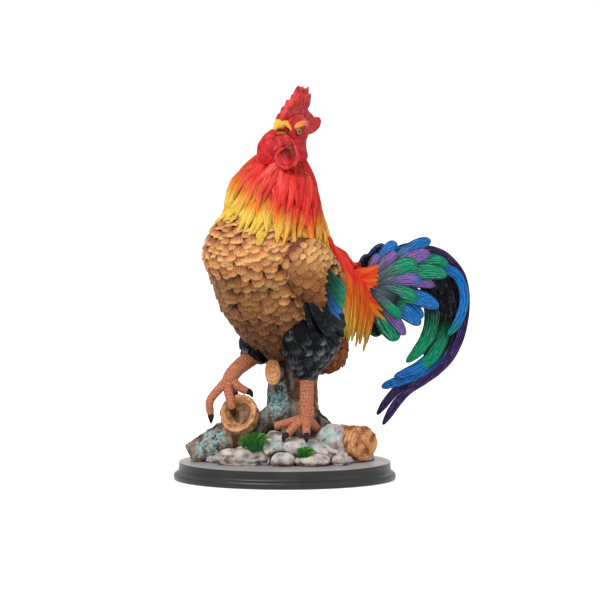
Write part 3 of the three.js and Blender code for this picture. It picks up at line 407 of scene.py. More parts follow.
def start_mesh():
    """An empty bmesh with the layers that the feather paint reads."""
    bm = bmesh.new()
    bm.verts.layers.float_vector.new("barb")
    bm.verts.layers.float_color.new("dye")
    return bm


def strand(basis, places, out, side=1):
    """A line through places in a frame's axes, on the left of it or, with side -1, on the right."""
    return [(basis @ Vector((x, side * y, z)), out) for x, y, z in places]


def section(line, share):
    """The centre, sideways and outward directions at a share of a line, curved through its points."""
    spans = len(line) - 1
    first = min(int(share * spans), spans - 1)
    t = share * spans - first
    pairs = [line[min(max(k, 0), spans)] for k in range(first - 1, first + 3)]
    (a, _), (b, n1), (c, n2), (d, _) = pairs
    centre = b + ((c - a) * t + (2 * a - 5 * b + 4 * c - d) * t * t + (3 * b - a - 3 * c + d) * t ** 3) / 2
    heading = (c - a) + 2 * (2 * a - 5 * b + 4 * c - d) * t + 3 * (3 * b - a - 3 * c + d) * t * t
    side = heading.cross(n1.lerp(n2, t)).normalized()
    return centre, side, side.cross(heading).normalized()


def rounded(share):
    """A scale: it fans out from its root to a broad round tip."""
    return min(1, 0.5 + 0.9 * share) * max(0, 1 - max(0, (share - 0.6) / 0.4) ** 2.2) ** 0.62


def tapered(share):
    """A hackle: broadest near its root, and drawn out to a point."""
    return (0.6 + 0.4 * min(share / 0.3, 1)) * (1 - max(0, (share - 0.25) / 0.75) ** 1.7)


def bladed(share):
    """A tail feather: broadest past its middle, with a blunt round end."""
    return (0.5 + 0.5 * min(1, 1.6 * share)) * max(0, 1 - max(0, (share - 0.6) / 0.4) ** 2.4) ** 0.62


def pillow(share):
    """The thickness of a feather: even, and closing quickly at its ends."""
    return math.sin(math.pi * min(max(share, 0.06), 0.94)) ** 0.4


def along_rows(values, share):
    """The value at a share of the way through a list of them."""
    first = min(int(share * (len(values) - 1)), len(values) - 2)
    rest = share * (len(values) - 1) - first
    return values[first] + (values[first + 1] - values[first]) * rest


def locks(height):
    """Two grooves along a hackle, that run out at its tip."""
    return lambda across, along, share: height * math.cos(3 * math.pi * across) * (1 - share)


class Plumage:
    """A growing set of shapes, made a few at a time because an operator visits the whole of its mesh."""

    BATCH = 16

    def __init__(self, skin=None, shade=None):
        self.done = skin.copy() if skin else start_mesh()
        if shade:
            dye_skin(self.done, shade)
        self.batch = start_mesh()
        self.count = 0

    def room(self):
        """The bmesh that the next shape goes in."""
        if self.count == self.BATCH:
            self.settle()
        self.count += 1
        return self.batch

    def settle(self):
        """Everything so far, as one bmesh."""
        mesh = bpy.data.meshes.new("batch")
        self.batch.to_mesh(mesh)
        self.batch.free()
        self.done.from_mesh(mesh)
        bpy.data.meshes.remove(mesh)
        self.batch = start_mesh()
        self.count = 0
        return self.done


def spindle(plumage, line, half_width, half_thickness, dye, outline, sides, rings, cup=0.0, relief=None,
            body=pillow, under=0.5):
    """A closed feather, hackle, toe or blade of grass along a line.

    It starts as a sphere, whose poles become its root and its tip. `dye` gives the colour at a share of the
    length and a point. `outline` and `body` give the share of the width and of the thickness there, and
    `relief` a rise in millimetres from (across, along, share). `cup` bends the edges in, and `under` is how
    full the back is.
    """
    bm = plumage.room()
    length = sum((q - p).length for (p, _), (q, _) in zip(line, line[1:]))
    barb = bm.verts.layers.float_vector["barb"]
    tint = bm.verts.layers.float_color["dye"]
    made = {}
    for v in bmesh.ops.create_uvsphere(bm, u_segments=sides, v_segments=rings, radius=1)["verts"]:
        share = 1 - math.acos(max(-1, min(1, v.co.z))) / math.pi
        ring = round(share * rings)
        share = ring / rings
        if ring not in made:
            centre, side, out = section(line, share)
            breadth = half_width * outline(share)
            depth = half_thickness * body(share)
            made[ring] = (centre, side, out, breadth, depth, dye(share, centre))
        centre, side, out, breadth, depth, shade = made[ring]
        girth = math.hypot(v.co.x, v.co.y)
        across = v.co.x / girth if girth > 1e-6 else 0
        through = v.co.y / girth if girth > 1e-6 else 0
        rise = depth * through * (1 if through > 0 else under) - cup * across * across * breadth
        if relief and through > -0.1:
            rise += relief(across, share * length, share) * min(1, 0.3 + through)
        v.co = centre + side * (across * breadth) + out * rise
        v[barb] = (across, share * length, share)
        v[tint] = shade


def remeshed(nodes, voxel, smoothing):
    """Copies of solids merged into one even skin, as a bmesh in millimetres."""
    rough = bmesh.new()
    for node in nodes:
        rough.from_mesh(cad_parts[node].data)
    bmesh.ops.remove_doubles(rough, verts=rough.verts, dist=1e-5)
    bmesh.ops.scale(rough, vec=(1 / MM,) * 3, verts=rough.verts)
    mesh = bpy.data.meshes.new("rough")
    rough.to_mesh(mesh)
    rough.free()
    holder = bpy.data.objects.new("rough", mesh)
    bpy.context.scene.collection.objects.link(holder)
    remesh = holder.modifiers.new("Remesh", "REMESH")
    remesh.mode = "VOXEL"
    remesh.voxel_size = voxel
    smooth = holder.modifiers.new("Smooth", "SMOOTH")
    smooth.factor = 0.5
    smooth.iterations = smoothing
    graph = bpy.context.evaluated_depsgraph_get()
    evened = bpy.data.meshes.new_from_object(holder.evaluated_get(graph))
    bm = start_mesh()
    bm.from_mesh(evened)
    bpy.data.objects.remove(holder)
    bpy.data.meshes.remove(mesh)
    bpy.data.meshes.remove(evened)
    bm.normal_update()
    return bm


def push_out(bm, rise):
    """Moves each point along its normal by rise(point, normal) millimetres."""
    bm.normal_update()
    moves = [(v, v.normal * rise(v.co, v.normal)) for v in bm.verts]
    for v, move in moves:
        v.co += move
    bm.normal_update()


def dye_skin(bm, shade):
    """Colours each point of a skin by shade(point, normal)."""
    tint = bm.verts.layers.float_color["dye"]
    for v in bm.verts:
        v[tint] = shade(v.co, v.normal)


def warts(pitch, height, at):
    """Round bumps, `pitch` apart."""
    nearest = noise.voronoi(at / pitch)[0]
    return height * max(0, 1 - (nearest[0] / 0.62) ** 2)


# Further out than any skin reaches, and how much deeper than its place a trim of the face may come to rest.
OUTSIDE = 200
REST_DEPTH = 9


class Skin:
    """A skin that feathers are laid on."""

    def __init__(self, nodes, voxel, smoothing, rise=None):
        self.bm = remeshed(nodes, voxel, smoothing)
        if rise:
            push_out(self.bm, rise)
        self.tree = BVHTree.FromBMesh(self.bm)

    def outermost(self, centre, direction):
        """Where something coming in from outside meets the skin."""
        point, normal, _, _ = self.tree.ray_cast(centre + direction * OUTSIDE, -direction)
        return point, normal

    def near(self, point):
        """How far a point is from the skin, below 0 inside it."""
        found, normal, _, gap = self.tree.find_nearest(point)
        return gap if (point - found).dot(normal) > 0 else -gap

    def resting(self, place, height):
        """Where something here lies on the skin as seen from the front, or else on its nearest part."""
        front = Vector((0, -1, 0))
        found = self.outermost(place, front)[0]
        if found is None or (found - place).length > REST_DEPTH:
            found, front = self.tree.find_nearest(place)[:2]
        return found + front * height

    def trace(self, start, flow, length, lifts):
        """A line along the skin from `start`, its points raised by `lifts`."""
        pace = length / (len(lifts) - 1)
        point, normal, _, _ = self.tree.find_nearest(start)
        line = []
        for lift in lifts:
            line.append((point + normal * lift, normal))
            heading = (flow - normal * flow.dot(normal)).normalized()
            point, normal, _, _ = self.tree.find_nearest(point + heading * pace)
        return line


def tiled(skin, flow, along, across, wanted=lambda point, normal: True):
    """Starts for feathers in rows like tiles: `along` apart down the flow, and `across` beside it."""
    cell = max(along, across)
    kept = {}
    aside = flow.cross(Vector((0.3, 1, 0.2)))
    faces = [(face.calc_center_median(), face.normal.copy()) for face in skin.bm.faces]
    faces = [face for face in faces if wanted(*face)]
    faces.sort(key=lambda face: (round(face[0].dot(flow) / (0.35 * along)), face[0].dot(aside)))
    for point, normal in faces:
        key = tuple(int(v // cell) for v in point)
        near = [other for i in (-1, 0, 1) for j in (-1, 0, 1) for k in (-1, 0, 1)
                for other in kept.get((key[0] + i, key[1] + j, key[2] + k), ())]
        for other in near:
            gap = point - other
            down = gap.dot(flow)
            if (down / along) ** 2 + (gap.length_squared - down * down) / across ** 2 < 1:
                break
        else:
            kept.setdefault(key, []).append(point)
            yield point, normal


# An outward direction that no axis points along.
SLANTED = Vector((0.31, 0.17, 0.93))
# How far a feather strays round its ring and along the axis, as shares of the gaps there.
RING_STRAY = 0.16
ROW_STRAY = 0.18


def rings_around(skin, axis, row_pitch, pitch, rng):
    """Starts for feathers in staggered rings round an axis: (point, normal, the axis's heading)."""
    line = [(point, SLANTED) for point in axis]
    length = sum((q - p).length for p, q in zip(axis, axis[1:]))
    rows = max(2, int(length / row_pitch))
    for row in range(rows + 1):
        centre, side, out = section(line, row / rows)
        heading = out.cross(side).normalized()
        reaches = [skin.outermost(centre, side * math.cos(a) + out * math.sin(a))[0] for a in range(6)]
        found = [(reach - centre).length for reach in reaches if reach is not None]
        if not found:
            continue
        count = max(5, int(TAU * sum(found) / len(found) / pitch))
        for i in range(count):
            a = TAU * (i + 0.5 * (row % 2) + rng.uniform(-RING_STRAY, RING_STRAY)) / count
            shifted = centre + heading * rng.uniform(-ROW_STRAY, ROW_STRAY) * row_pitch
            point, normal = skin.outermost(shifted, side * math.cos(a) + out * math.sin(a))
            if point is not None:
                yield point, normal, heading


def piece(name, bm, material, slot, *replaced, crease=40):
    """A finished shape as a piece on the figure's one body, in place of the solids that it covers."""
    bmesh.ops.scale(bm, vec=(MM,) * 3, verts=bm.verts)
    mesh = bpy.data.meshes.new(name)
    bm.to_mesh(mesh)
    bm.free()
    mesh.shade_smooth()
    mesh.set_sharp_from_angle(angle=math.radians(crease))
    mesh.materials.append(material)
    thing = bpy.data.objects.new(name, mesh)
    bpy.context.scene.collection.objects.link(thing)
    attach(thing, BODY)
    if replaced:
        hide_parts(*replaced)


# Stage

# A lamp is [name, watts, width, place], in metres.
LAMPS = [
    ("key_lamp", 27, 0.8, (-0.7, -1.1, 1.8)),
    ("fill_lamp", 4, 1.2, (1.5, -1.0, 0.9)),
    ("back_lamp", 5, 1.0, (0.4, 1.6, 1.3)),
]
LIT_POINT = (0, 0, 0.2)
WORLD_LIGHT = 0.5
FLOOR_GLOW = 0.6
FLOOR_REACH = 6
# The lens for a metre of camera distance, in millimetres, so that the figure keeps its size in the picture.
LENS_FOR_A_METRE = 60


def soft_lamp(name, power, width, place):
    """A square lamp that faces the figure."""
    lamp = bpy.data.lights.new(name, "AREA")
    lamp.energy = power
    lamp.size = width
    thing = bpy.data.objects.new(name, lamp)
    bpy.context.scene.collection.objects.link(thing)
    thing.location = place
    thing.rotation_euler = (Vector(LIT_POINT) - Vector(place)).to_track_quat("-Z", "Y").to_euler()


def pale_world(strength):
    """A white surround: pure white where it is seen or mirrored, and softer as light."""
    world = bpy.data.worlds.new("studio")
    bpy.context.scene.world = world
    world.use_nodes = True
    nodes = world.node_tree.nodes
    path = nodes.new("ShaderNodeLightPath")
    seen = nodes.new("ShaderNodeMath")
    seen.operation = "MAXIMUM"
    mirrored = nodes.new("ShaderNodeMath")
    mirrored.operation = "MAXIMUM"
    level = nodes.new("ShaderNodeMapRange")
    level.inputs["To Min"].default_value = strength
    links = world.node_tree.links
    links.new(path.outputs["Is Camera Ray"], seen.inputs[0])
    links.new(path.outputs["Is Glossy Ray"], mirrored.inputs[0])
    links.new(path.outputs["Is Transmission Ray"], mirrored.inputs[1])
    links.new(mirrored.outputs[0], seen.inputs[1])
    links.new(seen.outputs[0], level.inputs["Value"])
    nodes["Background"].inputs["Color"].default_value = (1, 1, 1, 1)
    links.new(level.outputs[0], nodes["Background"].inputs["Strength"])


class ROOSTER_OT_stage(bpy.types.Operator):
    """Set up the camera, the soft light and the white floor"""

    bl_idname = "rooster.stage"
    bl_label = "Stage"

    elevation: bpy.props.FloatProperty(name="Elevation", description="Camera above level", default=6.3)
    aim: bpy.props.FloatVectorProperty(
        name="Aim", description="Middle of the view", default=(0.0153, 0, 0.1806)
    )

    def execute(self, context):
        reach = size("camera_distance") * MM
        tilt = math.radians(self.elevation)
        camera = bpy.data.cameras.new("camera")
        camera.sensor_width = 36
        camera.lens = LENS_FOR_A_METRE * reach
        camera.clip_end = 50
        view = bpy.data.objects.new("camera", camera)
        context.scene.collection.objects.link(view)
        view.location = Vector(self.aim) + reach * Vector((0, -math.cos(tilt), math.sin(tilt)))
        view.rotation_euler = (math.pi / 2 - tilt, 0, 0)
        context.scene.camera = view
        context.scene.view_settings.view_transform = "Standard"
        pale_world(WORLD_LIGHT)
        for lamp in LAMPS:
            soft_lamp(*lamp)
        self.lay_floor()
        return {"FINISHED"}

    def lay_floor(self):
        bm = bmesh.new()
        bmesh.ops.create_grid(bm, x_segments=1, y_segments=1, size=FLOOR_REACH)
        mesh = bpy.data.meshes.new("floor")
        bm.to_mesh(mesh)
        bm.free()
        finish = Finish("white_floor", {"Specular IOR Level": 0.0, "Roughness": 1.0})
        finish.surface.inputs["Base Color"].default_value = (0.9, 0.9, 0.9, 1)
        path = [finish.node("LightPath", output=i) for i in (0, 3, 6)]
        seen = path[0].math("MAXIMUM", path[0], path[0].math("MAXIMUM", path[1], path[2]))
        glow = finish.node("Emission", {}, {"Color": (1, 1, 1, 1), "Strength": seen * FLOOR_GLOW})
        both = finish.node("AddShader", {}, {0: Wire(finish, finish.surface.outputs[0]), 1: glow})
        finish.feed(finish.tree.nodes["Material Output"].inputs["Surface"], both)
        mesh.materials.append(finish.material)
        floor = bpy.data.objects.new("floor", mesh)
        bpy.context.scene.collection.objects.link(floor)
        floor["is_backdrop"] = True


# Torso

TORSO_BREADTH = 112
# Fluff stands in rings round the rump and the vent: [axis in shares of the torso's sizes, flow].
FLUFF = [
    ([(-0.2, 0.02, 0.02), (-0.38, 0.02, 0.02), (-0.5, 0.06, 0)], (-1, 0, -0.2)),
    ([(-0.25, 0.04, -0.2), (-0.33, 0.05, -0.34), (-0.36, 0.05, -0.43)], (-0.3, 0, -1)),
]
FLUFF_WIDTH = 9
FLUFF_LENGTH = 13
# The scales end here, as a share of the torso's length.
BREAST_BACK = -0.2
# Above this height the breast faces up, and its scales are laid closer.
CLOSE_SCALES = 46


def torso_point(forward, left, up):
    """A point given as shares of the torso's length, breadth and height."""
    return BIRD @ Vector((forward * TORSO_LENGTH, left * TORSO_BREADTH, up * TORSO_HEIGHT))


def breast_rise(point, normal):
    """The breast's lumps, on a skin that leaves room for the scales."""
    return 1.7 * noise.noise(point / 17) - 1.2


def breast_dye(rng, up, light):
    """The paint of a breast scale, warmer low on the belly, with painted shade at its root and low on the
    belly.
    """
    low = step(48, -42, up)
    warmth = rng.random() * 0.5 + 0.4 * low
    middle = jittered(rng, blended(tone("breast_middle"), tone("breast_warm"), warmth), 0.22)
    middle = blended(middle, tone("vent_brown"), 0.5 * low)
    palest = blended(tone("breast_tip"), tone("breast_warm"), 0.5 * low)
    tip = blended(middle, palest, 0.35 + 0.65 * rng.random())
    rose = jittered(rng, blended(tone("breast_rose"), middle, 0.6 * rng.random()), 0.2)
    deep = tone("breast_deep")
    # Painted shade: the deep colour at the root runs up to where the scale above lies over it.
    stops = [(0, deep), (0.48, deep), (0.62, rose), (0.74, middle), (0.88, tip), (0.96, tip), (1, rose)]
    # Painted shade: darker low on the belly, and where the skin faces down by the factor passed in as light;
    # the random factor is the scale's own tone.
    light = light * (1.06 - 0.4 * low) * rng.uniform(0.8, 1.2)
    return lambda share, point: lit(gradient(stops, share), light)


def shape_scale(plumage, line, width, dye):
    """A breast scale, a covert or any other short feather."""
    spindle(plumage, line, width / 2, 0.09 * width, dye, rounded, 8, 7, cup=0.2)


def lay_scale(plumage, skin, start, flow, width, length, dye, rng, lift=2.6):
    """A scale whose root is sunk in the skin and whose tip stands up from it."""
    turn = flow.cross(skin.tree.find_nearest(start)[1]) * rng.uniform(-0.24, 0.24)
    line = skin.trace(start, (flow + turn).normalized(), length, (-1.0, 0.36 * lift, lift))
    shape_scale(plumage, line, width, dye)


class ROOSTER_OT_torso(bpy.types.Operator):
    """Lay the breast, belly, rump and vent scales"""

    bl_idname = "rooster.torso"
    bl_label = "Torso"

    def execute(self, context):
        rng = random.Random(11)
        skin = Skin(["torso"], 2.2, 5, breast_rise)
        covered = Skin(["wing_left", "wing_right"], 3, 2)
        material = scale_finish("breast_paint", wash=0.34, dry=0.25)
        # Painted shade: the skin that shows between the scales is dyed dark brown.
        plumage = Plumage(skin.bm, plain(blended(tone("breast_deep"), tone("breast_rose"), 0.25)))
        down = turned(BIRD, (-0.3, 0, -1))
        width = size("scale_width")
        rows = size("scale_rows")

        def bare(point, normal):
            return covered.near(point) > -2.5 and (BIRD.inverted() @ point).x > BREAST_BACK * TORSO_LENGTH

        def high(point, normal):
            return bare(point, normal) and (BIRD.inverted() @ point).z > CLOSE_SCALES

        starts = list(tiled(skin, down, rows, 0.66 * width, bare))
        starts += tiled(skin, down, 0.7 * rows, 0.55 * width, high)
        for point, normal in starts:
            forward, left, up = BIRD.inverted() @ point
            grown = width * (0.82 + 0.26 * step(90, 30, up) * step(-60, 0, up)) * rng.uniform(0.88, 1.15)
            back = BIRD.to_3x3() @ Vector((-step(30, -40, forward), 0, 0))
            flow = (down + 0.8 * back).normalized()
            dye = breast_dye(rng, up, painted_shade_factor(normal))
            lay_scale(plumage, skin, point, flow, grown, 1.55 * grown, dye, rng, lift=rng.uniform(2.6, 4.6))
        for row, outward in FLUFF:
            axis = [torso_point(*place) for place in row]
            for point, normal, heading in rings_around(skin, axis, 6, 8, rng):
                shade = blended(tone("vent_brown"), tone("breast_warm"), 0.5 * rng.random())
                # Painted shade: each tuft of fluff is deep brown at its root.
                dye = graded([(0, tone("breast_deep")), (1, jittered(rng, shade, 0.3))])
                ruffle = Vector([rng.uniform(-0.5, 0.5) for _ in range(3)])
                flow = (turned(BIRD, outward) + ruffle).normalized()
                lay_scale(plumage, skin, point, flow, FLUFF_WIDTH, FLUFF_LENGTH, dye, rng, lift=4)
        piece("torso_plumage", plumage.settle(), material, "brown_feather", "torso")
        return {"FINISHED"}


# Thighs

class ROOSTER_OT_thighs(bpy.types.Operator):
    """Lay the black feathers of both thighs"""

    bl_idname = "rooster.thighs"
    bl_label = "Thighs"

    def execute(self, context):
        rng = random.Random(23)
        # Painted highlight: the ridges of the thigh feathers are brushed with the grey.
        material = feather_finish(
            "thigh_paint", 0.68, ribs=1.6, wash=0.4, dry=0.7, dry_tone="thigh_painted_highlight", depth=0.45, mirror=0.07
        )
        black = tone("thigh_black")
        for name in ("thigh_left", "thigh_right"):
            skin = Skin([name], 1.8, 4)
            plumage = Plumage(skin.bm, plain(black))
            width = size("thigh_width")
            flow = turned(BIRD, (-0.3, 0, -1))
            for point, normal in tiled(skin, flow, 0.62 * width, 0.74 * width):
                # Painted highlight: some grey near each thigh feather's tip.
                grey = blended(black, tone("thigh_painted_highlight"), rng.random() ** 1.3)
                dye = graded([(0, black), (0.62, black), (0.92, grey), (1, black)])
                grown = width * rng.uniform(0.8, 1.15)
                lay_scale(plumage, skin, point, flow, grown, 1.45 * grown, dye, rng)
            piece(name + "_plumage", plumage.settle(), material, "black_feather", name)
        return {"FINISHED"}


# Wings

# A flight feather's row is [start forward, start up, end forward, end up, half width, lift, colour].
FLIGHTS = [
    (26, -4, 4, -36, 7.5, 1.0, "black"), (26, 0, -10, -41, 8, 1.4, "black"),
    (24, 4, -22, -41, 8, 2.0, "black"), (22, 6, -29, -36, 7.5, 2.6, "black"),
    (12, 6, -29, -29, 6.5, 3.2, "black"), (12, 3, -20, -27, 4.8, 4.4, "blue"),
    (13, 8, -21, -20, 4.6, 4.9, "blue"), (13, 14, -21, -13, 4.4, 5.4, "green"),
    (12, 20, -21, -6, 4.4, 5.9, "green"), (10, 27, -21, 2, 4.6, 6.4, "green"),
]
WING_FLANK = 57
# The coverts end where a line across the wing, from front to back, is passed: [forward, up].
COVERT_EDGE = [(50, 12), (0, -12)]
COVERT_BACK = -6
# How far the tips of the coverts hang over the flight feathers.
OVER_FLIGHTS = 6
# A covert that reaches further is shortened only while it is longer than this.
SHORTEST_COVERT = 8


class ROOSTER_OT_wings(bpy.types.Operator):
    """Lay the coverts and flight feathers of both wings"""

    bl_idname = "rooster.wings"
    bl_label = "Wings"

    def execute(self, context):
        coverts = scale_finish("covert_paint", wash=0.38, dry=0.3)
        for name, side in (("wing_left", 1), ("wing_right", -1)):
            self.lay_coverts(name, side, coverts)
        return {"FINISHED"}

    def lay_coverts(self, name, side, material):
        rng = random.Random(31 + side)
        skin = Skin([name], 1.8, 4)
        deep = tone("breast_deep")
        brown = blended(tone("breast_warm"), tone("vent_brown"), 0.3)
        # Painted shade: the skin under the coverts is dyed dark brown, and black where the flight feathers
        # lie.
        shades = {True: blended(deep, tone("breast_rose"), 0.4), False: tone("feather_black")}
        plumage = Plumage(skin.bm, lambda point, normal: shades[self.covered(point)])
        flow = turned(BIRD, (-0.62, 0, -0.78))
        width = size("covert_width")

        def outside(point, normal):
            return self.covered(point) and normal.dot(turned(BIRD, (0.4, side, 0.4))) > -0.15

        for point, normal in tiled(skin, flow, 0.62 * width, 0.72 * width, outside):
            forward, left, up = BIRD.inverted() @ point
            low = step(42, 20, up - 0.2 * (forward - 20))
            grown = width * (1 + 0.4 * low) * rng.uniform(0.85, 1.15)
            length = grown * (1.45 + 0.9 * low)
            while length > SHORTEST_COVERT and not self.covered(point + flow * (length - OVER_FLIGHTS)):
                length -= 2
            middle = jittered(rng, blended(tone("breast_middle"), tone("breast_warm"), 0.3 + 0.7 * low), 0.22)
            middle = blended(middle, brown, 0.8 * low)
            tip = blended(middle, tone("breast_tip"), (0.4 + 0.5 * rng.random()) * (1 - 0.8 * low))
            rose = blended(middle, tone("breast_rose"), 0.5)
            # Painted shade: darker where the skin faces down and low on the wing; the random factor is the
            # covert's own tone.
            light = painted_shade_factor(normal) * (0.98 - 0.36 * low) * rng.uniform(0.82, 1.15)
            rose = lit(rose, light)
            tip = lit(tip, light)
            # Painted shade: the deep colour at the root runs up to where the covert above lies over it.
            dye = graded([(0, deep), (0.46, deep), (0.64, rose), (0.88, tip), (0.96, tip), (1, rose)])
            if skin.near(point - flow * width) > 2:
                line = skin.trace(point - flow * 3, flow, grown, (1.2, 1.8, 2.6))
                shape_scale(plumage, line, grown, lambda share, point: dye(0.5 + 0.5 * share, point))
            lay_scale(plumage, skin, point, flow, grown, length, dye, rng, lift=2.6 + 1.8 * low)
        self.lay_flights(name, side, skin)
        piece(name + "_coverts", plumage.settle(), material, "brown_feather", name)

    def covered(self, tip):
        """Whether a covert that ends at this point leaves the flight feathers bare."""
        forward, left, up = BIRD.inverted() @ tip
        (front, front_up), (back, back_up) = COVERT_EDGE
        edge = front_up + (back_up - front_up) * (front - forward) / (front - back)
        return up > edge and forward > COVERT_BACK - 14 * step(4, 22, up)

    def lay_flights(self, name, side, skin):
        material = feather_finish(name + "_flight_paint", 0.62, ribs=3, dry=0.45, wash=0.7, mirror=0.08)
        plumage = Plumage()
        black = tone("feather_black")
        out = turned(BIRD, (0, side, 0.1))
        for root_forward, root_up, end_forward, end_up, half_width, lift, shade in FLIGHTS:
            line = []
            for share in (0, 0.35, 0.7, 1):
                forward = root_forward + (end_forward - root_forward) * share
                up = root_up + (end_up - root_up) * share - 3 * math.sin(math.pi * share)
                place = BIRD @ Vector((forward, side * WING_FLANK, up))
                found = skin.outermost(place, out)[0]
                reach = side * (BIRD.inverted() @ found).y if found else WING_FLANK - 7 * share * share
                line.append((BIRD @ Vector((forward, side * (reach + 0.6 * lift), up)), out))
            paint = tone("feather_" + shade)
            dull, dim = blended(paint, black, 0.5), blended(paint, black, 0.4)
            dye = graded([(0, black), (0.45, dull), (0.75, paint), (1, dim)])
            relief = feather_relief(half_width)
            spindle(plumage, line, half_width, 1.7, dye, bladed, 14, 26, cup=0.12, relief=relief)
        piece(name + "_flights", plumage.settle(), material, "dark_feather", name)


# A long feather's shaft and grooves.
SHAFT = 0.9
FEATHER_GROOVES = 3.4
GROOVE_HEIGHT = 0.35


def feather_relief(half_width):
    """A shaft down the middle of a feather and long grooves beside it."""
    def relief(across, along, share):
        shaft = SHAFT * math.exp(-(across * half_width / SHAFT) ** 2) * (1 - share)
        wander = 0.5 * math.sin(along / 6 + 2 * across)
        groove = math.cos(TAU * FEATHER_GROOVES * across * (0.75 + 0.25 * share) + wander)
        return shaft + GROOVE_HEIGHT * groove * (1 - across ** 6)
    return relief


# Neck

# How far the neck is ahead of the torso's middle, and its slanting hem.
NECK_FORWARD = 14
NECK_HEM = 62
HEM_SLANT = 18
HEM_HIGH_SIDE = math.radians(-60)
# From the hem up to where the neck is all red.
NECK_FADE = 62
NECK_AXIS = [(3, 1, 140), (6, -2, 128), (11, -2, 114), (16, 0, 99), (17, 1, 86)]


def neck_angle(forward, left):
    """The angle of a place round the neck, from straight ahead."""
    return math.atan2(left, forward - NECK_FORWARD)


def hem_height(angle):
    """How far up the hackles end, round the neck."""
    return NECK_HEM + HEM_SLANT * math.cos(angle - HEM_HIGH_SIDE)


class ROOSTER_OT_neck(bpy.types.Operator):
    """Lay the neck hackles"""

    bl_idname = "rooster.neck"
    bl_label = "Neck hackles"

    def execute(self, context):
        rng = random.Random(47)
        skin = Skin(["torso", "neck_hackle", "head"], 2, 12)
        under = Skin(["neck_hackle"], 1.8, 8)
        material = hackle_finish("hackle_paint", ribs=2.0, dry=0.9, dry_tone="hackle_pink")
        # Painted shade: the skin under the hackles gets the darkest hackle colour.
        plumage = Plumage(under.bm, lambda point, normal: self.shade(point, 0))
        axis = [BIRD @ Vector(place) for place in NECK_AXIS]
        for point, normal, heading in rings_around(skin, axis, 11, 8, rng):
            forward, left, up = BIRD.inverted() @ point
            angle = neck_angle(forward, left)
            hem = hem_height(angle) + 8 * math.sin(9 * angle) + rng.uniform(-4, 6)
            length = min(up - hem, rng.uniform(38, 52)) * 1.16
            if length < 14:
                continue
            swirl = Vector((0, 0, 1)).cross(normal) * rng.uniform(-0.5, 0.0)
            flow = (turned(BIRD, (0.1, 0, -1)) + swirl).normalized()
            bright = rng.random()
            line = skin.trace(point, flow, length, (-2.5, -0.6, 0.4, 1.0, 1.4))
            width = size("hackle_width") * rng.uniform(0.65, 1.15)
            dye = self.dye(bright)
            spindle(plumage, line, width / 2, 3.2, dye, tapered, 14, 16, cup=0.2, relief=locks(0.6))
        piece("neck_plumage", plumage.settle(), material, "red_hackle", "neck_hackle")
        return {"FINISHED"}

    def dye(self, bright):
        return lambda share, point: self.shade(point, bright)

    def shade(self, point, bright):
        """Red at the top of the neck, then orange, and yellow at the hem."""
        forward, left, up = BIRD.inverted() @ point
        aside = step(15, 60, left)
        rise = up - hem_height(neck_angle(forward, left)) + 14 * (bright - 0.5) + 13 * aside - 3
        lowest = blended(tone("hackle_tip"), tone("hackle_orange"), 0.6 * step(34, 60, left))
        red = blended(tone("hackle_red"), tone("hackle_pink"), 0.26 * bright ** 2 * (1 - aside))
        stops = [(0, lowest), (0.26, lowest), (0.46, tone("hackle_orange")), (0.66, red), (1, red)]
        # With bright at 0, on the skin under the hackles, this is painted shade; on a hackle it is that
        # hackle's own random tone.
        deep = 0.55 * (1 - bright) ** 1.5 * (0.2 + 0.8 * step(8, 34, rise))
        return blended(gradient(stops, max(0, rise) / NECK_FADE), tone("hackle_deep"), deep)


# Saddle

# The foremost and the hindmost hackle of a flank: start, shoulder, flank and tip, in the bird's axes.
FOREMOST_HACKLE = [(-22, 5, 58), (-28, 30, 40), (-34, 45, 4), (-37, 40, -49)]
HINDMOST_HACKLE = [(-86, 13, 13), (-92, 25, 0), (-92, 29, -20), (-84, 25, -64)]
FLANK_OUTWARD = [(0, 0.2, 1), (0, 0.8, 0.6), (0, 1, 0.1), (0, 1, 0)]
# The hackles dip in the middle of the flank, and those ahead of this share of it lie on the body.
SHOULDER_DIP = 8
ON_BODY = 0.45
# Where the hackles on the root of the tail end, in the tail's axes: [out, up].
TAILWARD_TIPS = [(17, 21), (31, 9), (27, -4), (24, -16), (24, -36)]
# A row of hackles over the spine is [where it starts, how many].
SPINE_ROWS = [(-64, 5), (-50, 6), (-36, 7), (-22, 8), (-8, 8)]
SPINE_REACH = 22
# A layer of saddle hackles is [how many, where they end along the line, lift].
SADDLE_LAYERS = [(17, 1.0, 1.6), (16, 0.82, 3.0), (13, 0.6, 4.2)]
TAILWARD_LAYERS = [(11, 1.04, 1.0), (10, 0.84, 2.4)]


def part_of(line, low, high):
    """Six points along part of a line, each with its outward direction."""
    chosen = []
    for i in range(6):
        centre, side, out = section(line, low + (high - low) * i / 5)
        chosen.append((centre, out))
    return chosen


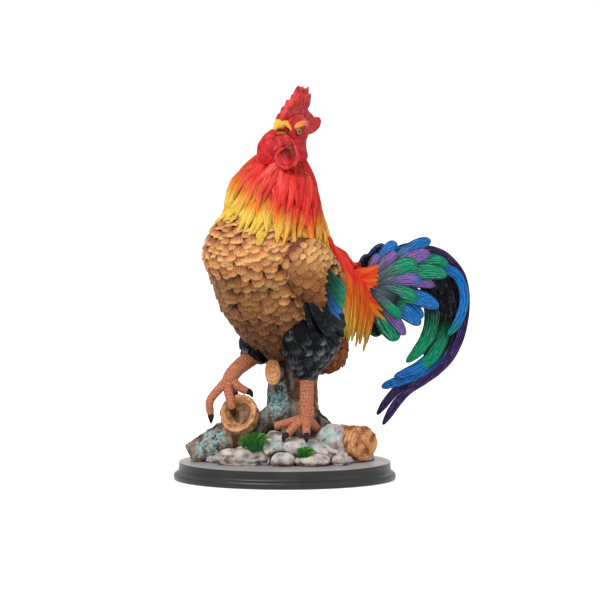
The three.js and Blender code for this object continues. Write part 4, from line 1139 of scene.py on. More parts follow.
class ROOSTER_OT_saddle(bpy.types.Operator):
    """Lay the saddle hackles over the flanks and the root of the tail"""

    bl_idname = "rooster.saddle"
    bl_label = "Saddle hackles"

    def execute(self, context):
        rng = random.Random(59)
        material = hackle_finish("saddle_paint", ribs=1.8, dry=0.5, dry_tone="hackle_tip")
        skin = Skin(["saddle_hackle"], 1.6, 5)
        self.body = Skin(["torso", "saddle_hackle"], 2.4, 5)
        plumage = Plumage(skin.bm, self.under_shade)
        for side in (1, -1):
            for count, end, lift in SADDLE_LAYERS:
                for i in range(count):
                    back = (i + rng.uniform(-0.3, 0.3)) / (count - 1)
                    self.lay_flank(plumage, rng, side, min(max(back, 0), 1), end, lift)
            for count, end, lift in TAILWARD_LAYERS:
                for i in range(count):
                    self.lay_tailward(plumage, rng, side, 4 * i / (count - 1), end, lift)
        for forward, count in SPINE_ROWS:
            for i in range(count):
                self.lay_spine(plumage, rng, forward, SPINE_REACH * (2 * i / (count - 1) - 1))
        piece("saddle_plumage", plumage.settle(), material, "orange_saddle", "saddle_hackle")
        return {"FINISHED"}

    def lay_flank(self, plumage, rng, side, back, end, lift):
        """A hackle that hangs over the flank, 0 to 1 of the way back."""
        line = []
        for i, (first, last, outward) in enumerate(zip(FOREMOST_HACKLE, HINDMOST_HACKLE, FLANK_OUTWARD)):
            x, y, z = Vector(first).lerp(Vector(last), back)
            dip = SHOULDER_DIP * math.sin(math.pi * back) if i < 2 else 0
            out = turned(BIRD, (outward[0], side * outward[1], outward[2]))
            place = BIRD @ Vector((x, side * y, z - dip)) + out * 2
            found = self.body.outermost(place, out)[0]
            if found is not None and back < ON_BODY and (i < 2 or (found - place).dot(out) > 0):
                place = found
            line.append((place + out * lift, out))
        end = min(1, end + rng.uniform(-0.1, 0.04))
        bright = rng.random()
        dye = self.dye(0, end, bright)
        half_width = rng.uniform(3.8, 5.6)
        line = part_of(line, 0.04, end)
        spindle(plumage, line, half_width, 2.3, dye, tapered, 12, 18, cup=0.16, relief=locks(0.5))

    def lay_spine(self, plumage, rng, forward, left):
        """A hackle that runs back from the neck's hem, over the spine."""
        root = BIRD @ Vector((forward + rng.uniform(-4, 4), left + rng.uniform(-2, 2), 0))
        start = self.body.outermost(root, turned(BIRD, (0, 0, 1)))[0]
        if start is None:
            return
        flow = turned(BIRD, (-1, 0.022 * left, -0.2))
        line = self.body.trace(start, flow, rng.uniform(34, 44), (-1, 2.4, 4, 4.6, 4.2))
        bright = rng.random()
        dye = self.dye(0.05, 0.45, bright)
        half_width = rng.uniform(4.4, 5.8)
        spindle(plumage, line, half_width, 2.2, dye, tapered, 12, 14, cup=0.14, relief=locks(0.4))

    def lay_tailward(self, plumage, rng, side, place, end, lift):
        """A hackle that lies on the root of the tail."""
        first = min(int(place), 3)
        tip = Vector(TAILWARD_TIPS[first]).lerp(Vector(TAILWARD_TIPS[first + 1]), place - first)
        out = turned(TAIL, (0, side, 0.15))
        points = [(-24, 13, 12), (-4, 18, 8 + 0.45 * (tip.y - 8)), (tip.x + rng.uniform(-4, 2), 15, tip.y)]
        line = [(TAIL @ Vector((x, side * y, z)) + out * (lift + 1.5), out) for x, y, z in points]
        bright = rng.random()
        dye = self.dye(0.24, 0.55 * end, bright)
        half_width = rng.uniform(4.4, 6)
        line = part_of(line, 0.0, end)
        spindle(plumage, line, half_width, 2.2, dye, tapered, 12, 14, cup=0.12, relief=locks(0.4))

    def under_shade(self, point, normal):
        """The paint under the hackles turns as theirs does, down the flank."""
        return self.shade(0.9 * step(30, -38, (BIRD.inverted() @ point).z), 0.3)

    def dye(self, first, span, bright):
        """The dye of a hackle that covers this part of the way down the flank."""
        return lambda share, point: self.shade(first + span * share, bright)

    def shade(self, share, bright):
        """Red over the back, then orange, and yellow at the tips."""
        glow = blended(tone("hackle_red"), tone("hackle_orange"), 0.6)
        red = tone("hackle_red")
        tip = tone("hackle_tip")
        stops = [(0, red), (0.46, red), (0.64, glow), (0.78, tone("hackle_orange")), (0.9, tip), (1, tip)]
        paint = gradient(stops, share + 0.22 * (bright - 0.5))
        return blended(paint, tone("hackle_deep"), 0.22 * (1 - bright) ** 2)


# Tail

# A fan feather's row is [degrees above level, length, half width, droop, layer, colour, colour of the tip].
FAN = [
    (60, 40, 5.5, 3, 0, "purple", "blue"), (49, 62, 7, 4, 0, "blue", "blue"),
    (41, 52, 7, 3, 1, "purple", "purple"), (30, 93, 7, 5, 0, "blue", "blue"),
    (23, 84, 7.5, 5, 1, "purple", "purple"), (13, 102, 8, 10, 0, "green", "green"),
    (20, 64, 9, 5, 2, "green", "green"), (6, 96, 8, 8, 1, "green", "green"),
    (3, 64, 7, 4, 2, "purple", "blue"), (-2, 82, 6.5, 5, 0, "purple", "purple"),
    (-17, 60, 8.5, 3, 2, "green", "green"), (-18, 88, 8, 4, 1, "blue", "blue"),
    (-31, 48, 6, 2, 3, "black", "green"), (-36, 76, 8, 3, 1, "blue", "blue"),
    (-29, 76, 7.5, 4, 0, "blue", "blue"), (-45, 50, 6, 2, 3, "green", "green"),
    (-52, 70, 6, 2, 1, "purple", "purple"), (-60, 70, 11, 2, 0, "green", "green"),
]
# From the tail's middle to the first layer of a fan, and from one layer to the next.
FAN_LAYER = 13
FAN_THICKNESS = 3.4
# The feathers on the far side have this share of the length, and are turned down by these degrees.
FAR_FAN_SHARE = 0.92
FAR_FAN_DROP = 5
# The whole fan is turned up by these degrees, and has this share of its solid's size.
FAN_LIFT = 3.5
FAN_SHRINK = 0.93
# Points along a fan feather: [share of its length, share of its droop, depth].
FAN_LINE = [(0.06, 0, -3), (0.3, -0.3, 0.4), (0.55, -0.45, 1.2), (0.82, 0, 2), (1.01, 1, 0.8)]
TAIL_CORE_AXIS = [(-14, 0, -2), (0, 0, -1), (12, 0, -1), (22, 0, -1)]

# A fan is [name, side, slot].
FANS = [("tail_fan_left", -1, "blue_feather"), ("tail_fan_right", 1, "green_feather")]

# A sickle is [layer, slot, stops of its colour, rows of out, up and half width].
SICKLES = {
    "sickle_green": (0, "green_feather", [
        (0, "feather_black"), (0.52, "feather_black"), (0.76, "feather_green"), (1, "feather_green")], [
        (20, 6, 3), (45, 8, 5), (62, 4, 6), (72, -8, 7), (75, -25, 8), (75, -42, 8), (70, -57, 7.5),
        (60, -70, 6), (48, -80, 2.2)]),
    "sickle_blue_short": (0, "blue_feather", [
        (0, "feather_blue"), (0.8, "feather_blue"), (1, "feather_green")], [
        (62, 19, 3), (76, 18, 4.5), (88, 14, 5), (100, 7, 5), (106.5, -4, 5), (109, -17, 5), (106, -32, 5),
        (101, -43, 5), (91, -55, 2.2)]),
    "sickle_blue_green": (1, "blue_feather", [
        (0, "feather_black"), (0.48, "feather_black"), (0.64, "feather_green"), (0.74, "feather_green"),
        (0.8, "feather_blue"), (1, "feather_blue")], [
        (20, 8, 3), (60, 14, 5), (78, 6, 6), (88, -10, 7), (91, -32, 7), (88, -54, 7), (79, -73, 7),
        (66, -84, 6), (50, -91, 5), (36, -94, 2)]),
    "sickle_blue_long": (2, "blue_feather", [
        (0, "feather_black"), (0.55, "feather_black"), (0.75, "feather_blue"), (1, "feather_blue")], [
        (20, 10, 3), (62, 18, 5), (84, 10, 6), (93, -8, 6.5), (97, -30, 6.5), (95, -52, 6.5), (86, -75, 6.5),
        (70, -89, 6), (52, -97, 5.5), (37, -101, 4.8), (24, -105, 3.2)]),
    "sickle_purple_outer": (3, "purple_feather", [
        (0, "feather_black"), (0.2, "sickle_purple"), (0.45, "feather_black"), (0.6, "sickle_purple"),
        (1, "sickle_purple")], [
        (14, 11, 4), (48, 28, 4), (72, 32, 4.5), (88, 27, 5), (99, 18, 5), (109, 4, 5.5), (113.5, -14, 5.5),
        (113, -36, 5.5), (108, -58, 5.5), (98, -77, 5.5), (86, -90, 5), (70, -101, 5), (55, -110, 4.5),
        (41, -124, 4.6), (27, -144, 3.8)]),
    "sickle_purple_inner": (4, "purple_feather", [
        (0, "feather_black"), (0.3, "feather_black"), (0.7, "sickle_purple"), (1, "sickle_purple")], [
        (14, 8, 4), (48, 24, 4), (72, 27, 4.5), (87, 21, 5), (97, 12, 5), (105, 0, 5), (109, -18, 5.5),
        (107, -42, 5.5), (101, -61, 5.5), (91, -78, 5), (80, -88, 5), (66, -96, 4.5), (50, -104, 4.5),
        (36, -117, 4.4), (22, -134, 3.6)]),
    "sickle_black": (5, "dark_feather", [(0, "feather_black"), (1, "feather_black")], [
        (20, 6, 4), (56, 10, 8), (76, 4, 10), (86, -14, 11), (90, -38, 11), (85, -60, 9), (74, -76, 4)]),
}
SICKLE_SPACING = 3.6
# How much further out than their solids the sickles bend.
SICKLE_SPREAD = 3
NEAREST_SICKLE = -2.5 * SICKLE_SPACING


class ROOSTER_OT_tail(bpy.types.Operator):
    """Lay the fan feathers on both sides of the tail, over its core"""

    bl_idname = "rooster.tail"
    bl_label = "Tail fan"

    def execute(self, context):
        material = feather_finish(
            "fan_paint", 0.62, ribs=3.4, wash=0.9, dry=0.9, depth=0.45, edge=0.85, mirror=0.1
        )
        self.black = tone("feather_black")
        self.lay_core(material)
        for name, side, slot in FANS:
            rng = random.Random(71 + side)
            under = Skin([name], 1.4, 3).bm
            lifted = TAIL @ Matrix.Rotation(math.radians(-FAN_LIFT), 4, "Y") @ Matrix.Scale(FAN_SHRINK, 4)
            bmesh.ops.transform(under, matrix=lifted @ TAIL.inverted(), verts=under.verts)
            plumage = Plumage(under, plain(self.black))
            for angle, length, half_width, droop, layer, shade, tip in FAN:
                if side > 0 and layer > 1:
                    continue
                if side > 0:
                    angle = angle - FAR_FAN_DROP
                    length = length * FAR_FAN_SHARE
                row = (angle + FAN_LIFT, length * FAN_SHRINK, half_width, droop, layer)
                self.lay_feather(plumage, rng, side, row, tone("feather_" + shade), tone("feather_" + tip))
            piece(name + "_feathers", plumage.settle(), material, slot, name)
        return {"FINISHED"}

    def lay_feather(self, plumage, rng, side, row, shade, tip):
        angle, length, half_width, droop, layer = row
        a = math.radians(angle)
        out = turned(TAIL, (0, side, 0))
        line = []
        for share, drop, depth in FAN_LINE:
            y = side * (FAN_LAYER + layer * FAN_THICKNESS + depth)
            place = Vector((share * length * math.cos(a), y, share * length * math.sin(a) - drop * droop))
            line.append((TAIL @ place + out * 0.8, out))
        paint = jittered(rng, shade, 0.12)
        root = blended(self.black, tone("feather_pale"), 0.2)
        dye = graded([(0, self.black), (0.3, root), (0.5, blended(root, paint, 0.45)), (0.68, paint),
                      (0.88, blended(paint, tip, 0.7)), (1, blended(tip, self.black, 0.3))])
        relief = feather_relief(half_width)
        spindle(plumage, line, half_width * 1.08, 2.1, dye, bladed, 18, 44, cup=0.16, relief=relief)

    def lay_core(self, material):
        rng = random.Random(83)
        skin = Skin(["tail_core"], 1.6, 4)
        plumage = Plumage(skin.bm, plain(self.black))
        axis = [TAIL @ Vector(place) for place in TAIL_CORE_AXIS]
        for point, normal, heading in rings_around(skin, axis, 8, 8, rng):
            lay_scale(plumage, skin, point, heading, 10, 14, plain(self.black), rng)
        piece("tail_core_plumage", plumage.settle(), material, "dark_feather", "tail_core")


def sickle_outline(widths):
    """A sickle's outline through its widths, rounded off at the tip."""
    return lambda share: along_rows(widths, share) * min(1, 22 * (1 - share)) ** 0.5


class ROOSTER_OT_sickles(bpy.types.Operator):
    """Shape the long curved sickle feathers"""

    bl_idname = "rooster.sickles"
    bl_label = "Sickle feathers"

    def execute(self, context):
        for name, (layer, slot, colours, rows) in SICKLES.items():
            material = feather_finish(
                name + "_paint", 0.62, ribs=3, wash=0.9, dry=0.6, depth=0.4, edge=0.8, mirror=0.07
            )
            out = turned(TAIL, (0, -1, 0))
            depth = NEAREST_SICKLE + layer * SICKLE_SPACING
            places = [(x + SICKLE_SPREAD * step(60, 105, x), depth, z) for x, z, wide in rows]
            line = strand(TAIL, places, out)
            outline = sickle_outline([wide for x, z, wide in rows])
            dye = graded([(share, tone(shade)) for share, shade in colours])
            plumage = Plumage()
            spindle(plumage, line, 1.06, 1.9, dye, outline, 22, 9 * len(rows), relief=self.relief)
            piece(name + "_feather", plumage.settle(), material, slot, name)
        return {"FINISHED"}

    def relief(self, across, along, share):
        """Grooves along the feather, and slight barbs."""
        return 0.55 * math.cos(3.2 * math.pi * across) + 0.15 * math.sin(TAU * (along / 3 - 2 * abs(across)))


# Head

# Places are in the head's axes: forward along the beak, left and up.
EYE = (7, 11, -1)
EYE_RADIUS = 4.2
GAZE = (0.6, 0.8, 0.05)
# The eyelid is a ring, a little lower than it is wide, that stands ahead of the eye's centre.
LID_RADIUS = 3.7
LID_THICKNESS = 0.85
LID_SQUASH = 0.86
LID_AHEAD = 2.2
BROW = [(13.5, 7.2, 2), (8, 11.4, 5), (2, 14, 7), (-4.5, 14.2, 4.6)]
GAPE = [(20, 5.6, 8.5), (17.5, 7.2, 3), (13.5, 7.4, -3.2)]
MOUTH = [(24.5, 5.4, 5), (20.5, 7.2, 2.6), (16.5, 8, -1.4)]
NOSTRIL = [(19, 5.6, 9), (22, 5, 8.6), (24, 4.4, 7.6)]
# How much higher than its solid's the beak's tip is.
BEAK_LIFT = 2.6
# A spike of the comb is [root forward, root up, tip forward, tip up, half width].
COMB_SPIKES = [
    (-4.8, 24, -10.8, 43.5, 5.2), (-14, 26, -18.7, 39.5, 3.6), (-21, 25, -29, 41, 4.4), (-25, 20, -33, 34, 4)
]
# The painted shade in the left wattle's hollow is deepest round this place.
WATTLE_PAINTED_SHADE = (31, 14.5, -18.5)
# The left wattle lies about a plane through this place, and bends ahead of it past the outer edge.
WATTLE_MIDDLE = (32.4, 13.6, -24)
WATTLE_FACING = (1, 0.24, 0.08)
WATTLE_EDGE = 18
WATTLE_BEND = 0.12
# The left wattle's rim, as points of [left, up].
WATTLE_RIM = [(18.6, -1.2), (23.4, -8.4), (26, -17), (25.8, -25), (22.4, -31.8), (14, -35.8), (6.8, -33),
              (3, -25.6), (6, -19), (12.6, -15), (18.6, -10.8), (21.6, -6.8)]
WATTLE_FOLD = [(27.5, -5, -20), (29, 1, -14.5), (29.2, 9, -9), (27, 17, -4)]


def skin_finish(name, stipple):
    """Painted flesh: red with deep creases and pink dry brushing on its stipple."""
    finish = Finish(name, {"Specular IOR Level": 0.25})
    dye = finish.attribute("dye", 0)
    bumps = 1 - finish.cells(stipple)
    worms = finish.grain(1.8, 4)
    base = finish.mix(bumps.between(0.1, 0.5), finish.times(dye, FLESH_WASH), dye)
    brushed = worms.between(0.5, 0.64) * finish.grain(6, 3).between(0.36, 0.6) * 0.28
    base = finish.mix(brushed, base, tone("skin_pink"))
    return finish.paint(base, worms * 0.3 + 0.3, bumps * 0.5 + worms, 0.45)


def flesh_shade(at, normal, pink):
    """Red, with a painted highlight of pink where the flesh faces up, and painted shade of deep red in noise
    patches meant as hollows.
    """
    lump = noise.noise(at / 5)
    shade = blended(tone("skin_red"), tone("skin_pink"), pink * step(-0.1, 0.9, normal.z + 0.8 * lump))
    return blended(shade, tone("skin_deep"), 0.6 * step(0.05, -0.4, lump))


def flesh_dye(facing_up):
    """The flesh colour, with the painted highlight of flesh that faces up as much as this."""
    return lambda share, point: flesh_shade(point, Vector((0, 0, facing_up)), 0.2)


class ROOSTER_OT_head(bpy.types.Operator):
    """Shape the face, comb and wattles"""

    bl_idname = "rooster.head"
    bl_label = "Face, comb and wattles"

    def execute(self, context):
        flesh = skin_finish("comb_paint", 1.3)
        fine = skin_finish("face_paint", 1.0)
        self.shape("face", "head", fine, 0.9, self.face_rise)
        self.shape("comb_flesh", "comb", flesh, 0.7, self.comb_rise)
        self.shape_spikes(flesh)
        for wattle in ("wattle_left", "wattle_right"):
            self.shape(wattle + "_skin", wattle, fine, 0.7, self.wattle_rise)
        self.flesh = Skin(["wattle_left", "wattle_right", "head"], 1, 3)
        self.shape_rim(fine)
        self.shape_fold(fine)
        return {"FINISHED"}

    def shape(self, name, node, material, voxel, rise):
        bm = remeshed([node], voxel, 2)
        dye_skin(bm, self.shade)
        push_out(bm, rise)
        piece(name, bm, material, "red_skin", node)

    def shade(self, at, normal):
        local = HEAD.inverted() @ at
        # Painted shade: the left wattle's hollow is darkened to deep red.
        hollow = step(13, 6, (local - Vector(WATTLE_PAINTED_SHADE)).length) * step(14, 20, local.x)
        comb = step(12, 18, local.z)
        # Painted highlight of pink where the flesh faces up, a little more on the comb.
        shade = flesh_shade(at, normal, 0.06 + 0.1 * comb)
        return blended(blended(shade, tone("skin_pink"), 0.06 * comb), tone("skin_deep"), hollow)

    def face_rise(self, at, normal):
        """Small warts, and longer ones behind the eye and on the throat."""
        forward, left, up = HEAD.inverted() @ at
        behind = step(8, -2, forward) * step(6, -4, up)
        return warts(0.75 * size("wart_size"), 0.3 + 0.9 * behind, at) + 0.5 * noise.noise(at / 4)

    def comb_rise(self, at, normal):
        """Lumps low on the comb, and grooves that climb into its points."""
        forward, left, up = HEAD.inverted() @ at
        grooves = 0.6 * math.sin(TAU * (forward + 0.4 * up) / 7.5) * step(14, 28, up)
        warty = step(-24, -16, forward)
        lumps = 0.45 * warty * warts(size("wart_size"), 1, at) + grooves + 1.1 * noise.noise(at / 6) * warty
        return lumps - 2.2 * step(32, 38, up)

    def wattle_rise(self, at, normal):
        """Soft folds that hang down the wattle."""
        forward, left, up = HEAD.inverted() @ at
        return 0.9 * noise.noise(Vector((forward / 5, left / 4, up / 14))) + warts(1.9, 0.14, at)

    def shape_spikes(self, material):
        plumage = Plumage()
        out = turned(HEAD, (0, 1, 0))
        for root, root_up, tip, tip_up, half_width in COMB_SPIKES:
            low, high = Vector((root, 0, root_up)), Vector((tip, 0, tip_up))
            bulge = low.lerp(high, 0.5) + Vector((1.2, 0, 0.6))
            line = [(HEAD @ place, out) for place in (low, bulge, high)]
            spindle(
                plumage, line, half_width, 3.4, self.spike_dye, tapered, 16, 22, relief=self.ripples,
                body=tapered, under=1,
            )
        piece("comb_spikes", plumage.settle(), material, "red_skin")

    def spike_dye(self, share, point):
        # Painted highlight: paler towards the spike's tip, as if it faced up there.
        return flesh_shade(point, Vector((0, 0, share)), 0.3)

    def ripples(self, across, along, share):
        return 0.4 * math.sin(5 * across + along / 3) * (1 - share)

    def shape_rim(self, material):
        """The beaded rim that folds back over the left wattle."""
        plumage = Plumage()
        out = turned(HEAD, WATTLE_FACING)
        line = []
        for left, up in WATTLE_RIM:
            plane = WATTLE_MIDDLE[0] - WATTLE_FACING[1] * (left - WATTLE_MIDDLE[1])
            bend = WATTLE_BEND * max(0, left - WATTLE_EDGE)
            forward = plane + bend - WATTLE_FACING[2] * (up - WATTLE_MIDDLE[2])
            line.append((self.flesh.resting(HEAD @ Vector((forward, left, up)), 0.9), out))
        width = self.rim_width
        spindle(
            plumage, line, 1.9, 1.9, flesh_dye(0.5), width, 14, 90, relief=self.beads, body=width, under=1
        )
        piece("wattle_left_rim", plumage.settle(), material, "red_skin")

    def beads(self, across, along, share):
        return 0.22 * math.sin(1.9 * along) + 0.3 * noise.noise((along / 3, 0, across))

    def rim_width(self, share):
        """The rim is thickest where the wattle hangs lowest."""
        hanging = math.exp(-((share - 0.46) / 0.2) ** 2)
        return (0.68 + 0.5 * hanging) * min(1, 8 * share, 6 * (1 - share)) ** 0.5

    def shape_fold(self, material):
        """The fold of flesh that hangs from the beak to the left wattle's rim."""
        plumage = Plumage()
        out = turned(HEAD, WATTLE_FACING)
        line = [(self.flesh.resting(HEAD @ Vector(place), -0.6), out) for place in WATTLE_FOLD]
        width = self.fold_width
        spindle(plumage, line, 7.4, 3, flesh_dye(0.4), width, 22, 26, relief=self.creases, under=1)
        piece("wattle_left_fold", plumage.settle(), material, "red_skin")

    def creases(self, across, along, share):
        return 0.12 * math.sin(6 * across)

    def fold_width(self, share):
        return math.sin(math.pi * min(max(share, 0), 1)) ** 0.6


class ROOSTER_OT_beak(bpy.types.Operator):
    """Shape the beak, brows and eyes"""

    bl_idname = "rooster.beak"
    bl_label = "Beak, brows and eyes"

    def execute(self, context):
        horn = self.horn_finish()
        for name in ("beak_upper", "beak_lower"):
            bm = remeshed([name], 0.5, 5)
            for v in bm.verts:
                forward, left, up = HEAD.inverted() @ v.co
                v.co += turned(HEAD, (-0.2, 0, 1)) * BEAK_LIFT * step(16, 32, forward)
            dye_skin(bm, self.beak_shade)
            piece(name + "_horn", bm, horn, "yellow_beak", name)
        trim = Plumage()
        for side in (1, -1):
            out = turned(HEAD, (0.3, side, 0.5))
            rows = [strand(HEAD, row, out, side) for row in (BROW, GAPE, MOUTH, NOSTRIL)]
            spindle(trim, rows[0], 3, 2.6, self.brow_shade, pillow, 12, 24, relief=self.brow_relief)
            spindle(trim, rows[1], 2.6, 1.9, plain(tone("beak_yellow")), pillow, 10, 14)
            spindle(trim, rows[2], 0.7, 1.6, plain(tone("beak_dark")), pillow, 8, 14)
            spindle(trim, rows[3], 0.8, 0.9, plain(tone("beak_dark")), tapered, 8, 8)
            self.shape_eye("left" if side > 0 else "right", side)
        piece("brow_ridges", trim.settle(), horn, "yellow_beak")
        return {"FINISHED"}

    def horn_finish(self):
        finish = Finish("horn_paint", {"Specular IOR Level": 0.5, "Coat Weight": 0.15, "Coat Roughness": 0.3})
        dye = finish.attribute("dye", 0)
        streaks = finish.grain(1.2, 3, finish.stretched(1, 1, 0.4))
        base = finish.mix(streaks.between(0.5, 0.75) * 0.5, dye, finish.times(dye, HORN_WASH))
        return finish.paint(base, streaks * 0.2 + 0.28, streaks, 0.15)

    def beak_shade(self, at, normal):
        forward, left, up = HEAD.inverted() @ at
        # Painted shade: darker brown under the front of the beak.
        under = step(5, 1.5, up) * step(12, 20, forward)
        horn = blended(tone("beak_yellow"), tone("brow_orange"), 0.6 * step(22, 14, forward))
        horn = blended(horn, tone("beak_dark"), 0.5 * under)
        return blended(horn, tone("skin_red"), 0.85 * step(-1.2, -3.4, up))

    def brow_relief(self, across, along, share):
        return 0.25 * math.sin(along * 1.3 + 3 * across)

    def brow_shade(self, share, point):
        return gradient([(0, tone("beak_yellow")), (0.4, tone("brow_orange")), (1, tone("skin_red"))], share)

    def shape_eye(self, name, side):
        look = turned(HEAD, (GAZE[0], side * GAZE[1], GAZE[2]))
        centre = HEAD @ Vector((EYE[0], side * EYE[1], EYE[2]))
        bm = start_mesh()
        bmesh.ops.create_uvsphere(bm, u_segments=32, v_segments=20, radius=EYE_RADIUS)
        bmesh.ops.translate(bm, vec=centre, verts=bm.verts)
        piece("eye_ball_" + name, bm, self.eye_finish(name, centre, look), "eye_glass", "eye_" + name)
        lid = start_mesh()
        ring = bmesh.ops.create_circle(lid, segments=10, radius=LID_THICKNESS)["verts"]
        bmesh.ops.rotate(lid, matrix=Matrix.Rotation(math.pi / 2, 3, "X"), verts=ring)
        bmesh.ops.translate(lid, vec=(LID_RADIUS, 0, 0), verts=ring)
        bmesh.ops.spin(
            lid, geom=lid.edges[:], cent=(0, 0, 0), axis=(0, 0, 1), angle=TAU, steps=28, use_merge=True
        )
        bmesh.ops.recalc_face_normals(lid, faces=lid.faces)
        bmesh.ops.scale(lid, vec=(1, LID_SQUASH, 1), verts=lid.verts)
        facing = look.to_track_quat("Z", "Y").to_matrix().to_4x4()
        placing = Matrix.Translation(centre + look * LID_AHEAD) @ facing
        bmesh.ops.transform(lid, matrix=placing, verts=lid.verts)
        dye_skin(lid, plain(blended(tone("skin_red"), tone("skin_deep"), 0.55)))
        piece("eyelid_" + name, lid, skin_finish("eyelid_paint_" + name, 0.7), "red_skin")

    def eye_finish(self, name, centre, look):
        """A gold-green iris round a tall pupil, under gloss."""
        gloss = {"Specular IOR Level": 0.3, "Coat Weight": 0.25, "Coat Roughness": 0.05}
        finish = Finish("eye_paint_" + name, gloss)
        looked_at = (centre + look * EYE_RADIUS) * MM
        away = finish.node("VectorMath", {"operation": "SUBTRACT"}, {0: finish.place(), 1: looked_at})
        squeeze = (1 / MM, 1 / MM, 0.62 / MM)
        squeezed = finish.node("VectorMath", {"operation": "MULTIPLY"}, {0: away, 1: squeeze})
        reach = finish.node("VectorMath", {"operation": "LENGTH"}, {0: squeezed}, 1)
        iris = finish.mix(finish.grain(0.6, 3).between(0.4, 0.7) * 0.6, tone("iris"), tone("beak_yellow"))
        base = finish.mix(reach.between(1.0, 1.3), tone("pupil"), iris)
        base = finish.mix(reach.between(2.3, 3.0), base, tone("pupil"))
        return finish.paint(base, finish.grain(2, 2) * 0.1 + 0.08)


# Legs, in a frame at their root that hangs from the middle of the torso

LEGS = placed(BIRD, 0, 0, -TORSO_HEIGHT / 3, 0)
TO_GROUND = TORSO_HEIGHT / 3 - 147.5
LEFT_HIP = 33
RIGHT_HIP = -27
ANKLE = (0, LEFT_HIP, TO_GROUND + 21)
KNUCKLE = (49, RIGHT_HIP, -25)
SHANKS = {
    "leg_left": [(0, LEFT_HIP, -14, 7.8), (0, LEFT_HIP, -34, 6.8), (0, LEFT_HIP, TO_GROUND + 33, 6.8),
                 (0, LEFT_HIP, TO_GROUND + 24, 7.6), (1, LEFT_HIP - 1, TO_GROUND + 15, 5.4)],
    "leg_right": [(4, RIGHT_HIP, 1, 8), (22, RIGHT_HIP, -8, 8.6), (38, RIGHT_HIP, -16, 7.8),
                  (48, RIGHT_HIP, -24, 7.6), (53, RIGHT_HIP, -31, 6)],
}
TOES = {
    "leg_left": [
        [ANKLE, (15, LEFT_HIP - 9, TO_GROUND + 17), (29, LEFT_HIP - 18, TO_GROUND + 13)],
        [ANKLE, (16, LEFT_HIP, TO_GROUND + 14), (28, LEFT_HIP + 1, TO_GROUND + 6)],
        [ANKLE, (8, LEFT_HIP + 8, TO_GROUND + 14), (14, LEFT_HIP + 15, TO_GROUND + 6)],
        [ANKLE, (-12, LEFT_HIP - 2, TO_GROUND + 12), (-20, LEFT_HIP - 4, TO_GROUND + 6)],
    ],
    "leg_right": [
        [KNUCKLE, (60, RIGHT_HIP - 3, -35), (69, RIGHT_HIP - 8, -48), (68, RIGHT_HIP - 8, -62)],
        [KNUCKLE, (54, RIGHT_HIP + 2, -36), (54, RIGHT_HIP + 6, -48), (52, RIGHT_HIP + 7, -56)],
        [KNUCKLE, (46, RIGHT_HIP + 7, -33), (38, RIGHT_HIP + 13, -39)],
        [KNUCKLE, (44, RIGHT_HIP - 7, -35), (36, RIGHT_HIP - 9, -42)],
    ],
}
# The side of a limb that its broad scales face.
SHANK_FRONTS = {"leg_left": (1, 0, 0), "leg_right": (0.3, 0, 1)}
FLAT_TOE_FRONT = (0, 0, 1)
STEEP_TOE_FRONT = (1, 0, 0.3)
STEEP_DROP = 10
TOE_RADIUS = 4.5
CLAW_LENGTH = 6.5


class ROOSTER_OT_legs(bpy.types.Operator):
    """Shape the scaly shanks, toes and claws"""

    bl_idname = "rooster.legs"
    bl_label = "Legs"

    def execute(self, context):
        finish = Finish("leg_paint", {"Specular IOR Level": 0.2})
        dye = finish.attribute("dye", 0)
        net = finish.cells(1.9, "DISTANCE_TO_EDGE")
        fine = finish.grain(1, 3)
        base = finish.mix(net.between(0.02, 0.16), finish.times(dye, LEG_WASH), dye)
        base = finish.mix(fine.between(0.55, 0.75) * 0.35, base, tone("leg_flesh"))
        material = finish.paint(base, fine * 0.2 + 0.45, net.between(0, 0.3) + fine * 0.3, 0.3)
        for name, shank in SHANKS.items():
            plumage = Plumage()
            self.shape_limb(plumage, shank, SHANK_FRONTS[name])
            for toe in TOES[name]:
                steep = abs(toe[-1][2] - toe[-2][2]) > STEEP_DROP
                front = STEEP_TOE_FRONT if steep else FLAT_TOE_FRONT
                radii = [TOE_RADIUS * (1.12 - 0.3 * i / (len(toe) - 1)) for i in range(len(toe))]
                self.shape_limb(plumage, [(*place, radius) for place, radius in zip(toe, radii)], front)
                self.shape_claw(plumage, toe, front)
            piece(name + "_scales", plumage.settle(), material, "scaly_leg", name)
        return {"FINISHED"}

    def shape_limb(self, plumage, rows, front):
        """A limb with broad scales across its front."""
        out = turned(LEGS, front)
        line = strand(LEGS, [row[:3] for row in rows], out)
        length = sum((q - p).length for (p, _), (q, _) in zip(line, line[1:]))
        count = max(4, round(length / size("scute_pitch")))
        radii = [row[3] for row in rows]

        def reach(share):
            return along_rows(radii, share) * min(1, 9 * min(share + 0.03, 1.03 - share)) ** 0.5

        def shade(share, point):
            raised = abs(math.sin(math.pi * share * count))
            patch = 0.5 + 0.5 * noise.noise(point / 9)
            shade = blended(tone("leg_flesh"), tone("skin_pink"), 0.25 * patch)
            return blended(tone("leg_deep"), shade, 0.5 + 0.5 * step(0.05, 0.6, raised))

        def scutes(across, along, share):
            return 0.32 * abs(math.sin(math.pi * share * count)) ** 0.7 * (1 - 0.8 * across * across)

        spindle(plumage, line, 1, 1, shade, reach, 20, 6 * count, relief=scutes, body=reach, under=1)

    def shape_claw(self, plumage, toe, front):
        before, end = Vector(toe[-2]), Vector(toe[-1])
        ahead = (end - before).normalized()
        tip = end + ahead * CLAW_LENGTH - Vector((0, 0, 0.45 * CLAW_LENGTH))
        bend = end + ahead * 0.55 * CLAW_LENGTH + Vector((0, 0, 0.8))
        out = turned(LEGS, front)
        line = strand(LEGS, (end - ahead * 2.5, bend, tip), out)
        spindle(plumage, line, 3.5, 3.5, plain(tone("claw")), tapered, 12, 12, body=tapered, under=1)


# Plinth and scenery

